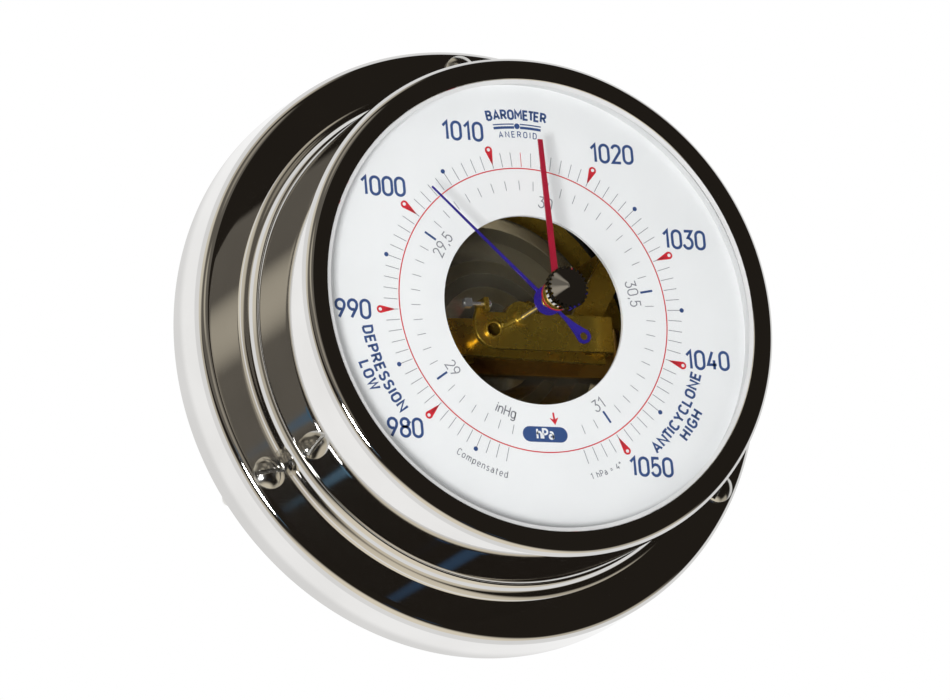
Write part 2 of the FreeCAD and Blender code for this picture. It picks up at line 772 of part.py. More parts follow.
def lower_bridge():
    body = new_body("lower_bridge")
    under, thick = d["lower_under"], d["lower_sheet"]
    top = under + thick
    corners = [
        (-33.8, -6.0),
        (21.4, -7.6),
        (21.4, 2.2),
        (29.6, 15.4),
        (24.4, 18.6),
        (14.0, 1.8),
        (-33.8, 0.5),
    ]
    arcs = {3: 3.1}
    pad(body, outline(body, "carrier", corners, role="XY_Plane", level=under, arcs=arcs), thick)
    for name, x in (("left_ear", d["left_ear_x"]), ("right_ear", d["right_ear_x"])):
        y = pivot_y()
        ear = [(x, y - 1.8), (x + d["ear_sheet"], y - 1.8), (x + d["ear_sheet"], y + 1.8),
               (x, y + 1.8)]
        pad(body, outline(body, name, ear, role="XY_Plane", level=d["shaft_level"] - 1.6),
            under - d["shaft_level"] + 1.7)
    holes = [(0, 0), (pivot_x(), pivot_y())]
    drilled(body, "pivot_holes", holes, d["pivot_radius"] + d["running_gap"], top + 1, thick + 2)
    drilled(body, "pillar_holes", PILLARS, d["small_screw"], top + 1, thick + 2)
    drilled(body, "eyelet_hole", [(d["eyelet_x"], d["eyelet_y"])], d["eyelet_radius"], top + 1,
            thick + 2)
    x, y = pivot_x() + d["tail_reach"], pivot_y()
    window = [(x - 1.0, y - 2.2), (x + 1.0, y - 2.2), (x + 1.0, y + 2.2), (x - 1.0, y + 2.2)]
    pocket(body, outline(body, "arm_window", window, role="XY_Plane", level=top + 1), thick + 2)
    side_drilled(body, "ear_bearings", [(pivot_y(), d["shaft_level"])],
                 d["shaft_pivot"] + d["running_gap"], d["right_ear_x"] + 3,
                 d["right_ear_x"] - d["left_ear_x"] + 6)


def bridge_pillars():
    model = tube("bridge_pillar", d["small_screw"] + 0.05, d["pillar_radius"], 0,
                 d["lower_under"] - d["plate_front"])
    places = screws_on(PILLARS, val("plate_front"))
    group("bridge_pillars", model, places)


def bridge_screws():
    level = val("lower_under") + val("lower_sheet")
    small_screws("bridge_screws", 19.2, PILLARS, level)


def rocking_shaft():
    """Shaft along X with a side arm to the link and a tall arm to the sector's tail."""
    y, level = pivot_y(), d["shaft_level"]
    tilt = math.degrees(math.radians(val("sector_rest")) * val("tail_reach") / val("tall_arm"))
    lift = FreeCAD.Placement(FreeCAD.Vector(0, y.value, level.value),
                             FreeCAD.Rotation(FreeCAD.Vector(1, 0, 0), tilt))
    body = new_body("rocking_shaft", lift)
    left = d["left_ear_x"] + d["ear_sheet"] + 0.15
    right = d["right_ear_x"] - 0.15
    side_pin(body, "shaft", left, sized(0), sized(0), d["shaft_radius"], right - left)
    ends = d["right_ear_x"] - d["left_ear_x"] + d["ear_sheet"] - 0.2
    side_pin(body, "pivots", d["left_ear_x"] + 0.1, sized(0), sized(0), d["shaft_pivot"], ends)
    x = d["link_x"]
    arm = [(x - 0.4, 0.2), (x + 0.4, 0.2), (x + 0.4, d["side_arm"] + 0.7),
           (x - 0.4, d["side_arm"] + 0.7)]
    pad(body, outline(body, "side_arm_plate", arm, role="XY_Plane", level=sized(-0.6)), 1.2)
    side_pin(body, "arm_pin", x + 0.3, d["side_arm"], sized(0), d["link_pin"], 1.1)
    x = pivot_x() + d["tail_reach"]
    pegs = circles(body, "tall_arm_peg", [(x, 0)], 0.3, sized(0.5))
    pad(body, pegs, d["tall_arm"] + 0.2)


def link():
    """Short flat link standing between the lever's pin and the rocking shaft's pin."""
    body = new_body("link")
    low = d["link_low"]
    tilt = math.radians(val("sector_rest")) * val("tail_reach") / val("tall_arm")
    high = d["shaft_level"] + d["side_arm"] * math.sin(tilt)
    y = pivot_y() + d["side_arm"]
    half = 0.75
    corners = [(y - half, low), (y + half, low), (y + half, high), (y - half, high)]
    sketch = outline(body, "link_side", corners, role="YZ_Plane",
                     level=d["link_x"] + 0.5, arcs={0: half, 2: half})
    pad(body, sketch, 0.6)
    side_drilled(body, "link_eyes", [(y, low), (y, high)], d["link_pin"] + d["running_gap"],
                 d["link_x"] + 2, 4)


def bridge_plate():
    """Front bridge with a bent leg on the right, a boss for the arbor and a bent-up lug."""
    body = new_body("bridge_plate")
    under, thick = d["bridge_under"], d["bridge_sheet"]
    top = under + thick
    left, right = d["bridge_left"], d["bridge_right"]
    high, low = d["bridge_top"], d["bridge_low"]
    corners = [
        (left + 4.4, low),
        (right, low),
        (right, high),
        (3.4, high),
        (-3.4, high),
        (left + 2.6, high),
        (left + 2.6, high + 2.4),
        (left + 1.2, high + 2.4),
        (left, high - 1.6),
        (left, low + 4.4),
    ]
    arcs = {3: 3.55, 9: 4.4}
    pad(body, outline(body, "front_plate", corners, role="XY_Plane", level=under, arcs=arcs),
        thick)
    leg = [(right - 1.2, low), (right, low), (right, high), (right - 1.2, high)]
    leg_foot = d["lower_under"] + d["lower_sheet"]
    pad(body, outline(body, "leg", leg, role="XY_Plane", level=leg_foot), top - leg_foot)
    lug = [(left + 1.4, high - 0.6), (left + 2.3, high - 0.6), (left + 2.3, high + 2.4),
           (left + 1.4, high + 2.4)]
    pad(body, outline(body, "lug", lug, role="XY_Plane", level=top - 0.2), 2.8)
    boss = circles(body, "arbor_boss", [(0, 0)], 1.7, top - 0.2)
    pad(body, boss, 0.9)
    rib(body, top)
    drilled(body, "arbor_hole", [(0, 0)], d["pivot_radius"] + d["running_gap"], top + 2, 5)
    drilled(body, "sector_hole", [(pivot_x(), pivot_y())], d["pivot_radius"] + d["running_gap"],
            top + 1, thick + 2)
    drilled(body, "eyelet_hole", [(d["eyelet_x"], d["eyelet_y"])], d["eyelet_radius"], top + 1,
            thick + 2)
    side_drilled(body, "lug_hole", [(high + 1.2, top + 1.5)], 0.45, left + 3, 3)


def rib(body, top):
    """Raised rib from the eyelet to the arbor's boss."""
    angle = math.atan2(val("eyelet_y"), val("eyelet_x"))
    along = (math.cos(angle), math.sin(angle))
    reach = math.hypot(val("eyelet_x"), val("eyelet_y")) - val("eyelet_radius") - 0.2
    corners = []
    for distance, side in ((1.2, -0.5), (reach, -0.5), (reach, 0.5), (1.2, 0.5)):
        corners.append((along[0] * distance - along[1] * side,
                        along[1] * distance + along[0] * side))
    pad(body, outline(body, "rib", corners, role="XY_Plane", level=top - 0.2), 0.7)


def bridge_eyelet():
    """Hollow rivet that spaces the two bridges and shows as a bright ring."""
    low, high = d["lower_under"] - 0.4, d["bridge_under"] + d["bridge_sheet"]
    inner, outer = d["eyelet_bore"], d["eyelet_radius"]
    corners = [(inner, low), (outer, low), (outer, high + 0.9), (inner, high + 0.9)]
    turned("bridge_eyelet", corners, placement=spun(0, val("eyelet_x"), val("eyelet_y")))


def range_screw():
    """Steel screw across the bridge's lug, with a square lock nut on its far end."""
    lug_x = d["bridge_left"] + 2.3
    body = new_body("range_screw")
    y = d["bridge_top"] + 1.2
    level = d["bridge_under"] + d["bridge_sheet"] + 1.5
    side_pin(body, "head", lug_x, y, level, 0.85, 0.7)
    side_pin(body, "shank_right", lug_x - 0.9, y, level, 0.45, 1.0)
    side_pin(body, "shank_left", lug_x - 5.4, y, level, 0.4, 4.6)
    nut = [(lug_x - 5.2, y - 0.9), (lug_x - 3.6, y - 0.9), (lug_x - 3.6, y + 0.9),
           (lug_x - 5.2, y + 0.9)]
    pad(body, outline(body, "lock_nut", nut, role="XY_Plane", level=level - 0.8), 1.6)


# ---------------------------------------------------------------- wheelwork

def tooth_ring(pitch_radius, pitch_angle, centres, half_width, drop, rise, tip_share):
    """Corners of a run of teeth, counted anticlockwise; half_width is at the pitch circle."""
    corners = []
    half = math.degrees(half_width / pitch_radius)
    root, tip = pitch_radius - drop, pitch_radius + rise
    for centre in centres:
        corners.append(polar(root, centre - half))
        corners.append(polar(pitch_radius, centre - half))
        corners.append(polar(pitch_radius + rise * 0.6, centre - half * (tip_share + 1) / 2))
        corners.append(polar(tip, centre - half * tip_share * 0.6))
        corners.append(polar(tip, centre + half * tip_share * 0.6))
        corners.append(polar(pitch_radius + rise * 0.6, centre + half * (tip_share + 1) / 2))
        corners.append(polar(pitch_radius, centre + half))
        corners.append(polar(root, centre + half))
        corners.append(polar(root, centre + pitch_angle / 2))
    return corners


def pinion():
    module, teeth = val("tooth_module"), int(val("pinion_teeth"))
    pitch_radius, step = module * teeth / 2, 360 / teeth
    centres = [val("sector_bearing") + step * number for number in range(teeth)]
    corners = tooth_ring(pitch_radius, step, centres, 0.10, 0.28, 0.13, 0.7)
    low = val("sector_under") - 0.3
    blank = prism(corners, low, val("sector_sheet") + 0.6)
    bore = Part.makeCylinder(val("pivot_radius"), 4, FreeCAD.Vector(0, 0, low - 1))
    freeform("pinion", blank.cut(bore))


def sector():
    """Toothed sector with a forked tail, drawn round its own pivot at mid travel."""
    module, teeth = val("tooth_module"), int(val("wheel_teeth"))
    pitch_radius, step = module * teeth / 2, 360 / teeth
    facing = 180 + val("sector_bearing")
    run = int(val("sector_half") / step)
    centres = [facing + step * number for number in range(-run, run + 1)]
    arc = tooth_ring(pitch_radius, step, centres, 0.14, 0.28, 0.2, 0.4)
    rim = pitch_radius - 1.6
    half = val("sector_half")
    inner = [polar(rim, facing + half - 2 * half * share / 8) for share in range(9)]
    low, thick = val("sector_under"), val("sector_sheet")
    blank = prism(arc + inner, low, thick)
    for side in (-0.82, 0.82):
        blank = blank.fuse(spoke(facing + half * side, rim + 0.6, 1.3, low, thick))
    hub = Part.makeCylinder(1.8, thick + 0.8, FreeCAD.Vector(0, 0, low - 0.4))
    blank = blank.fuse(hub).fuse(spoke(0, val("tail_reach") + 1.3, 2.6, low, thick))
    gap = 0.42
    slot = [(1.9, -gap), (8, -gap), (8, gap), (1.9, gap)]
    blank = blank.cut(prism(slot, low - 1, thick + 2))
    bore = Part.makeCylinder(val("pivot_radius"), 6, FreeCAD.Vector(0, 0, low - 2))
    rest = spun(-val("sector_rest"), pivot_x().value, pivot_y().value)
    freeform("sector", blank.cut(bore), rest)


def spoke(degrees, length, width, low, thick):
    bar = prism([(0, -width / 2), (length, -width / 2), (length, width / 2), (0, width / 2)],
                low, thick)
    bar.rotate(FreeCAD.Vector(), FreeCAD.Vector(0, 0, 1), degrees)
    return bar


def sector_arbor():
    top = d["bridge_under"] + d["bridge_sheet"]
    place = spun(0, pivot_x().value, pivot_y().value)
    radius = d["pivot_radius"]
    corners = [(0, d["lower_under"] + 0.1), (radius, d["lower_under"] + 0.1),
               (radius, top - 0.1), (0, top - 0.1)]
    turned("sector_arbor", corners, placement=place)


def arbor():
    radius = d["pivot_radius"]
    low, high = d["lower_under"] + 0.1, d["hand_level"] + 1.0
    turned("arbor", [(0, low), (radius, low), (radius, high), (0, high)])


def hairspring():
    """Flat spiral strip from the collet to its stud."""
    low = val("sector_under") + 1.5
    tube("hairspring_collet", d["pivot_radius"], 1.2, low - 0.1, low + 0.7)
    turns, start, end, strip = 4.25, 1.27, 4.0, 0.07
    steps = 96
    first = -100.0
    outer, inner = [], []
    for number in range(steps + 1):
        angle = first + 360 * turns * number / steps
        radius = start + (end - start) * number / steps
        outer.append(polar(radius + strip, angle))
        inner.append(polar(radius - strip, angle))
    freeform("hairspring", prism(outer + inner[::-1], low + 0.05, 0.5))
    angle = first + 360 * turns
    x, y = polar(end + 0.45, angle)
    top = d["bridge_under"]
    corners = [(0, low - 0.1), (0.38, low - 0.1), (0.38, top), (0, top)]
    turned("hairspring_stud", corners, placement=spun(0, x, y))


# ---------------------------------------------------------------- hands, spindle and knob

def hand_turn(alias):
    """Dial angles run clockwise, turns about Z run the other way."""
    return spun(-val(alias))


def pressure_hand():
    """Fine needle with a ring hub and a pierced teardrop tail, drawn pointing up."""
    body = new_body("pressure_hand", hand_turn("hand_bearing"))
    level, thick = d["hand_level"], d["hand_sheet"]
    hub, bore = d["hand_hub"], d["hand_bore"]
    pad(body, circles(body, "hub", [(0, 0)], hub, level), thick)
    needle = [(-0.36, hub - 0.4), (0.36, hub - 0.4), (0.18, d["hand_reach"]),
              (-0.18, d["hand_reach"])]
    pad(body, outline(body, "needle", needle, role="XY_Plane", level=level), thick)
    tail_y, tail_r = -d["tail_hole_reach"], d["tail_radius"]
    tail = [
        (0.3, -(hub - 0.4)),
        (-0.3, -(hub - 0.4)),
        (-tail_r, tail_y + 0.35),
        (-0.6, tail_y - 1.43),
        (0.6, tail_y - 1.43),
        (tail_r, tail_y + 0.35),
    ]
    arcs = {1: -22.0, 2: tail_r, 3: tail_r, 4: tail_r, 5: -22.0}
    pad(body, outline(body, "tail", tail, role="XY_Plane", level=level, arcs=arcs), thick)
    drilled(body, "hub_hole", [(0, 0)], bore, level + 1, 2)
    drilled(body, "tail_eye", [(0, tail_y)], d["tail_hole"], level + 1, 2)


def hand_collet():
    level = d["hand_level"]
    corners = [
        (d["pivot_radius"], level - 1.6),
        (1.1, level - 1.6),
        (d["hand_bore"], level - 0.5),
        (d["hand_bore"], level + 0.6),
        (d["pivot_radius"], level + 0.6),
    ]
    turned("hand_collet", corners)


def set_hand():
    """Straight bar that follows the dome down from its hub to the scale."""
    hub, thick = d["set_hub"], d["set_sheet"]
    level, tip = d["set_level"], d["set_tip_level"]
    body = new_body("set_hand", hand_turn("set_bearing"))
    pad(body, circles(body, "set_disc", [(0, 0)], hub, level), thick)
    knee = hub + 1.2
    side = [
        (2.0, level),
        (knee, level),
        (d["set_reach"], tip),
        (d["set_reach"], tip + thick),
        (knee, level + thick),
        (2.0, level + thick),
    ]
    bar = outline(body, "bar_side", side, role="YZ_Plane", level=sized(-0.72))
    pad(body, bar, 1.44)
    root = hub + 0.2
    taper = [(0.72, root), (3.0, root), (3.0, 36.0), (0.52, 36.0)]
    mirrored = [(sized(-1) * x, y) for x, y in reversed(taper)]
    for name, corners in (("right_taper", taper), ("left_taper", mirrored)):
        pocket(body, outline(body, name, corners, role="XY_Plane", level=level + 3), 8)
    drilled(body, "set_bore", [(0, 0)], d["spindle_radius"], level + 1, 2)


def set_spindle():
    level = d["set_level"]
    radius = d["spindle_radius"]
    corners = [
        (0, level - 0.5),
        (1.9, level - 0.5),
        (1.9, level),
        (radius, level),
        (radius, d["knob_back"] + 1.2),
        (0, d["knob_back"] + 1.2),
    ]
    turned("set_spindle", corners)


def glass_bush():
    """Flanged bush through the glass, with the spindle running inside it."""
    bore = d["spindle_radius"] + d["running_gap"]
    hole = d["bush_radius"]
    inside = dome_level(d["glass_hole"], d["glass_thickness"])
    corners = [
        (bore, d["set_level"] + d["set_sheet"] + 0.1),
        (3.2, d["set_level"] + d["set_sheet"] + 0.1),
        (3.2, inside - 0.35),
        (hole, inside - 0.35),
        (hole, d["crown_level"] + 0.1),
        (bore, d["crown_level"] + 0.1),
    ]
    turned("glass_bush", corners)
    outside = dome_level(d["glass_hole"], sized(0))
    tube("bush_nut", hole, 3.6, outside + 0.02, outside + 0.42)
    tube("bush_washer", hole, 3.1, inside - 0.35, inside - 0.05)


def knob():
    """Coarsely toothed disc with a low turned cone on its front."""
    radius, teeth = val("knob_radius"), int(val("knob_teeth"))
    low, rim, peak = val("knob_back"), val("knob_rim"), val("knob_peak")
    root = radius - val("knob_tooth")
    step = 360 / teeth
    corners = []
    for number in range(teeth):
        for reach, share in ((root, -0.3), (radius, -0.22), (radius, 0.22), (root, 0.3)):
            corners.append(polar(reach, (number + share) * step))
    blank = prism(corners, low, peak - low)
    profile = [(0, low), (radius + 1, low), (radius + 1, rim - 0.2), (radius - 0.3, rim),
               (0, peak)]
    ring = [FreeCAD.Vector(x, 0, z) for x, z in profile]
    face = Part.Face(Part.makePolygon(ring + ring[:1]))
    lathe = face.revolve(FreeCAD.Vector(), FreeCAD.Vector(0, 0, 1), 360)
    bore = Part.makeCylinder(val("spindle_radius"), 1.2, FreeCAD.Vector(0, 0, low))
    freeform("knob", blank.common(lathe).cut(bore))


# ---------------------------------------------------------------- whole instrument

def build():
    wall_flange()
    case_body()
    flange_nut()
    bezel()
    glass()
    glass_gasket()
    dial_ring()
    dial_plate()
    case_back()
    wall_screws()
    case_back_screws()
    movement_screws()
    movement_plate()
    movement_feet()
    adjusting_screw()
    capsule()
    main_spring()
    spring_screws()
    spring_lever()
    lower_bridge()
    bridge_pillars()
    bridge_screws()
    rocking_shaft()
    link()
    bridge_plate()
    bridge_eyelet()
    range_screw()
    pinion()
    sector()
    sector_arbor()
    arbor()
    hairspring()
    pressure_hand()
    hand_collet()
    set_hand()
    set_spindle()
    glass_bush()
    knob()


def sub_parts():
    """Every finished piece: each solid that no group is made from."""
    kinds = ("PartDesign::Body", "Part::Compound", "Part::Feature")
    pieces = [thing for thing in doc.Objects if thing.TypeId in kinds]
    used = {member.Name for thing in pieces for member in getattr(thing, "Links", [])}
    return [thing for thing in pieces if thing.Name not in used]


def check_and_export():
    for thing in doc.Objects:
        bad = [word for word in thing.State if word in ("Invalid", "Error")]
        if bad:
            raise RuntimeError("%s is %s" % (thing.Name, bad))
    os.makedirs("parts", exist_ok=True)
    for thing in sub_parts():
        shape = thing.Shape
        if shape.isNull() or not shape.isValid():
            raise RuntimeError("%s has a bad shape" % thing.Label)
        shape.exportStep("parts/%s.step" % thing.Label)
        print(thing.Label, len(shape.Solids), round(shape.Volume, 2))


build()
doc.recompute()
check_and_export()
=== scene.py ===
import json
import math

import bpy
from mathutils import Matrix, Vector


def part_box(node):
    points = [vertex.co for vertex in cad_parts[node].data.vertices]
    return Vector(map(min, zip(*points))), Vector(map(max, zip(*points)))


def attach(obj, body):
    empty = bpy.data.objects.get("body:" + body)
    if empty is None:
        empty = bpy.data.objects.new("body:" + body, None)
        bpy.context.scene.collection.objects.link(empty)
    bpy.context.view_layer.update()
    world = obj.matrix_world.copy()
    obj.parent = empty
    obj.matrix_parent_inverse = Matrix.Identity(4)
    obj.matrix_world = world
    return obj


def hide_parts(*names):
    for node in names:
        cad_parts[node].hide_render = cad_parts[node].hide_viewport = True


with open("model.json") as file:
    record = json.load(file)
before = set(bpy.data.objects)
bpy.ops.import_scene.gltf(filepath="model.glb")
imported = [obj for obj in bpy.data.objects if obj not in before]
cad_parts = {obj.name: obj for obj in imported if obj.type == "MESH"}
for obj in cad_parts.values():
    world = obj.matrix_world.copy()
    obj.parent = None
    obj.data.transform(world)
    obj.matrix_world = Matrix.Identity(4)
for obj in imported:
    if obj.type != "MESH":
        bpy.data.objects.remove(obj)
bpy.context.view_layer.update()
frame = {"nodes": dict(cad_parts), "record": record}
NODES = frame["nodes"]

MM = 0.001
DIAL_FACE = -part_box("dial_plate")[0].y / MM     # dial face's distance from the wall
PRINT_SKIN = 0.03                               # thickness of printed ink
SCALE_RADIUS = 31.4                             # tips of the red markers
DEGREES_PER_HPA = 4.0
MIDDLE_HPA = 1013.0                             # reading at the top of the dial
HPA_PER_INCH = 33.8639                          # one inch of mercury

BLUE_INK = (0.028, 0.068, 0.215)
RED_INK = (0.60, 0.012, 0.026)
GREY_INK = (0.20, 0.20, 0.23)


# ---------------------------------------------------------------- materials

def new_material(name):
    material = bpy.data.materials.new(name)
    material.use_nodes = True
    tree = material.node_tree
    shader = tree.nodes["Principled BSDF"]
    return material, tree, shader


def link(tree, source, target):
    tree.links.new(source, target)


def noise(tree, scale, detail):
    """Noise in the object's own space."""
    place = tree.nodes.new("ShaderNodeTexCoord")
    texture = tree.nodes.new("ShaderNodeTexNoise")
    texture.inputs["Scale"].default_value = scale
    texture.inputs["Detail"].default_value = detail
    link(tree, place.outputs["Object"], texture.inputs["Vector"])
    return texture.outputs["Fac"]


def ranged(tree, source, low, high):
    """Maps 0..1 to low..high."""
    node = tree.nodes.new("ShaderNodeMapRange")
    node.inputs["To Min"].default_value = low
    node.inputs["To Max"].default_value = high
    link(tree, source, node.inputs["Value"])
    return node.outputs["Result"]


def tinted(tree, source, first, second):
    """Blends two colours over the middle of a noise's range."""
    ramp = tree.nodes.new("ShaderNodeValToRGB")
    ramp.color_ramp.elements[0].position = 0.35
    ramp.color_ramp.elements[1].position = 0.65
    ramp.color_ramp.elements[0].color = (*first, 1)
    ramp.color_ramp.elements[1].color = (*second, 1)
    link(tree, source, ramp.inputs["Fac"])
    return ramp.outputs["Color"]


def bumped(tree, shader, height, strength, distance, edge=0.0):
    """Fine relief, and edges rounded in the shading where a radius is given."""
    bump = tree.nodes.new("ShaderNodeBump")
    if edge:
        rounding = tree.nodes.new("ShaderNodeBevel")
        rounding.samples = 6
        rounding.inputs["Radius"].default_value = edge
        link(tree, rounding.outputs["Normal"], bump.inputs["Normal"])
    bump.inputs["Strength"].default_value = strength
    bump.inputs["Distance"].default_value = distance
    link(tree, height, bump.inputs["Height"])
    link(tree, bump.outputs["Normal"], shader.inputs["Normal"])


def metal(name, dark, light, rough, grain=900.0, bump=0.02, solid=1.0, edge=0.0):
    """Metal with slight colour clouds, uneven polish and fine grain; solid below 1 is lacquered."""
    material, tree, shader = new_material(name)
    shader.inputs["Metallic"].default_value = solid
    cloud = noise(tree, 60.0, 3.0)
    link(tree, tinted(tree, cloud, dark, light), shader.inputs["Base Color"])
    fine = noise(tree, grain, 6.0)
    link(tree, ranged(tree, fine, rough[0], rough[1]), shader.inputs["Roughness"])
    bumped(tree, shader, fine, bump, 0.00005, edge)
    return material


def painted(name, dark, light, rough, bump=0.05, coat=0.0):
    """Paint with slight colour clouds and a fine skin; coat adds a clear gloss."""
    material, tree, shader = new_material(name)
    cloud = noise(tree, 90.0, 3.0)
    link(tree, tinted(tree, cloud, dark, light), shader.inputs["Base Color"])
    fine = noise(tree, 1500.0, 5.0)
    link(tree, ranged(tree, fine, rough[0], rough[1]), shader.inputs["Roughness"])
    shader.inputs["Coat Weight"].default_value = coat
    bumped(tree, shader, fine, bump, 0.00003)
    return material


def clear_glass():
    """Thin clear glass: light passes straight through and the surface reflects faintly."""
    index = 1.35            # low, like coated glass
    share = 0.6             # part of the full reflection that is kept
    material, tree, shader = new_material("clear_glass")
    tree.nodes.remove(shader)
    output = tree.nodes["Material Output"]
    clear = tree.nodes.new("ShaderNodeBsdfTransparent")
    clear.inputs["Color"].default_value = (0.985, 0.99, 0.99, 1)
    gloss = tree.nodes.new("ShaderNodeBsdfGlossy")
    haze = ranged(tree, noise(tree, 40.0, 2.0), 0.02, 0.06)
    link(tree, haze, gloss.inputs["Roughness"])
    # Light leaving the glass gets the inverse index, so that none is trapped inside.
    facing = tree.nodes.new("ShaderNodeNewGeometry")
    fresnel = tree.nodes.new("ShaderNodeFresnel")
    link(tree, ranged(tree, facing.outputs["Backfacing"], index, 1 / index),
         fresnel.inputs["IOR"])
    weaker = tree.nodes.new("ShaderNodeMath")
    weaker.operation = "MULTIPLY"
    weaker.inputs[1].default_value = share
    link(tree, fresnel.outputs["Fac"], weaker.inputs[0])
    mix = tree.nodes.new("ShaderNodeMixShader")
    link(tree, weaker.outputs["Value"], mix.inputs["Fac"])
    link(tree, clear.outputs["BSDF"], mix.inputs[1])
    link(tree, gloss.outputs["BSDF"], mix.inputs[2])
    link(tree, mix.outputs["Shader"], output.inputs["Surface"])
    return material


def make_materials():
    return {
        "chrome": metal("polished_chrome", (0.79, 0.78, 0.765), (0.83, 0.82, 0.805),
                        (0.02, 0.05), bump=0.01),
        "screw_steel": metal("polished_screw", (0.66, 0.65, 0.62), (0.74, 0.73, 0.70),
                             (0.08, 0.16), bump=0.05, edge=0.00012),
        "glass": clear_glass(),
        "gasket": painted("pale_gasket", (0.60, 0.60, 0.60), (0.66, 0.66, 0.66), (0.5, 0.6)),
        "spacer": painted("dial_spacer", (0.66, 0.66, 0.66), (0.70, 0.70, 0.70), (0.5, 0.6)),
        "dial_white": painted("dial_enamel", (0.845, 0.845, 0.85), (0.87, 0.87, 0.875),
                              (0.38, 0.48), bump=0.03),
        "back_metal": painted("black_lacquer", (0.012, 0.012, 0.012), (0.02, 0.02, 0.02),
                              (0.35, 0.5)),
        "brass": metal("lacquered_brass", (0.50, 0.33, 0.045), (0.66, 0.44, 0.07),
                       (0.25, 0.30), grain=400.0, bump=0.008, solid=0.90, edge=0.0003),
        "steel": metal("turned_steel", (0.52, 0.51, 0.49), (0.66, 0.65, 0.63),
                       (0.15, 0.24), bump=0.02, solid=0.85, edge=0.0001),
        "spring_steel": metal("tempered_spring", (0.46, 0.25, 0.05), (0.60, 0.35, 0.08),
                              (0.20, 0.26), grain=400.0, bump=0.008, solid=0.92,
                              edge=0.0003),
        "capsule_metal": metal("capsule_nickel", (0.44, 0.40, 0.30), (0.54, 0.50, 0.38),
                               (0.16, 0.22), bump=0.01, solid=0.92, edge=0.0003),
        "blue_hand": painted("blue_lacquer", (0.022, 0.012, 0.20), (0.03, 0.018, 0.26),
                             (0.2, 0.3), coat=0.5),
        "red_hand": painted("red_lacquer", (0.36, 0.008, 0.03), (0.45, 0.012, 0.04),
                            (0.25, 0.35), coat=0.3),
    }


MATERIALS = make_materials()
INKS = {
    "blue": painted("ink_blue", BLUE_INK, (0.034, 0.08, 0.24), (0.45, 0.6)),
    "red": painted("ink_red", RED_INK, (0.66, 0.018, 0.034), (0.45, 0.6)),
    "grey": painted("ink_grey", GREY_INK, (0.25, 0.25, 0.28), (0.45, 0.6)),
    "white": painted("ink_white", (0.80, 0.81, 0.83), (0.85, 0.86, 0.88), (0.45, 0.6)),
}


def dress_cad_nodes():
    slots = {part["node"]: part["material_slot"] for part in frame["record"]["subparts"]}
    for name, node in NODES.items():
        node.data.materials.clear()
        material = "spacer" if name == "dial_ring" else slots[name]
        node.data.materials.append(MATERIALS[material])


def face_outward(piece):
    bpy.context.view_layer.objects.active = piece
    piece.select_set(True)
    bpy.ops.object.mode_set(mode="EDIT")
    bpy.ops.mesh.select_all(action="SELECT")
    bpy.ops.mesh.normals_make_consistent(inside=False)
    bpy.ops.object.mode_set(mode="OBJECT")
    piece.select_set(False)


# ---------------------------------------------------------------- turned case

TURN_STEPS = 720
CREASE = math.radians(25)

# Outline of the case in millimetres: radius from the dial's axis, level above the wall.
DRUM = 46.8
DRUM_WALL = 1.5
THREAD_GAP = 0.05
SEAT = 17.6                                     # joint of the bezel and the moulding
FLANGE_FRONT = 13.0
FLANGE_SHEET = 2.0
FLANGE_BACK = FLANGE_FRONT - FLANGE_SHEET
FLANGE_FLAT = 62.1                              # outside of the flange's flat front
FLANGE_CREASE = 7.5                             # level where the flange starts to spread
FLANGE_ROUND = 2.3                              # radius of the flange's front edge
ROUND_START = FLANGE_FRONT - FLANGE_ROUND
GUARD = 0.4                                     # extra ring of points beside a rounding


def bent(start, end, radius, steps=14):
    """Points of the arc from start to end, bulging to the right of the way, ends left out."""
    start, end = Vector(start), Vector(end)
    chord = end - start
    side = Vector((-chord.y, chord.x)).normalized()
    centre = (start + end) / 2 + side * math.sqrt(abs(radius) ** 2 - (chord.length / 2) ** 2) \
        * math.copysign(1, radius)
    first = math.atan2(start.y - centre.y, start.x - centre.x)
    sweep = 2 * math.asin(chord.length / 2 / abs(radius)) * math.copysign(1, radius)
    turns = [first + sweep * step / steps for step in range(1, steps)]
    return [(centre.x + abs(radius) * math.cos(turn), centre.y + abs(radius) * math.sin(turn))
            for turn in turns]


def softened(profile, size=0.12):
    """Every sharp corner of a closed profile replaced by a small chamfer of two points."""
    done = []
    count = len(profile)
    for index, spot in enumerate(profile):
        spot = Vector(spot)
        before = Vector(profile[index - 1]) - spot
        after = Vector(profile[(index + 1) % count]) - spot
        bend = math.pi - before.angle(after)
        if bend < CREASE:
            done.append(tuple(spot))
            continue
        for way in (before, after):
            done.append(tuple(spot + way.normalized() * min(size, way.length / 3)))
    return done


def lathe(name, profile, node, slot, middle=(0, 0), steps=TURN_STEPS):
    """Closed ring turned from a profile of (radius, level) pairs; it stands in for a node."""
    middle_x, middle_y = middle
    mesh = bpy.data.meshes.new(name)
    corners = []
    faces = []
    count = len(profile)
    for step in range(steps):
        turn = math.tau * step / steps
        corners += [((middle_x + r * math.sin(turn)) * MM, -z * MM,
                     (middle_y + r * math.cos(turn)) * MM) for r, z in profile]
        start, after = step * count, (step + 1) % steps * count
        for index in range(count):
            following = (index + 1) % count
            faces.append((start + index, start + following, after + following, after + index))
    mesh.from_pydata(corners, [], faces)
    mesh.materials.append(MATERIALS[slot])
    mesh.shade_smooth()
    mesh.set_sharp_from_angle(angle=CREASE)
    piece = bpy.data.objects.new(name, mesh)
    bpy.context.scene.collection.objects.link(piece)
    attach(piece, "case")
    face_outward(piece)
    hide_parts(node)


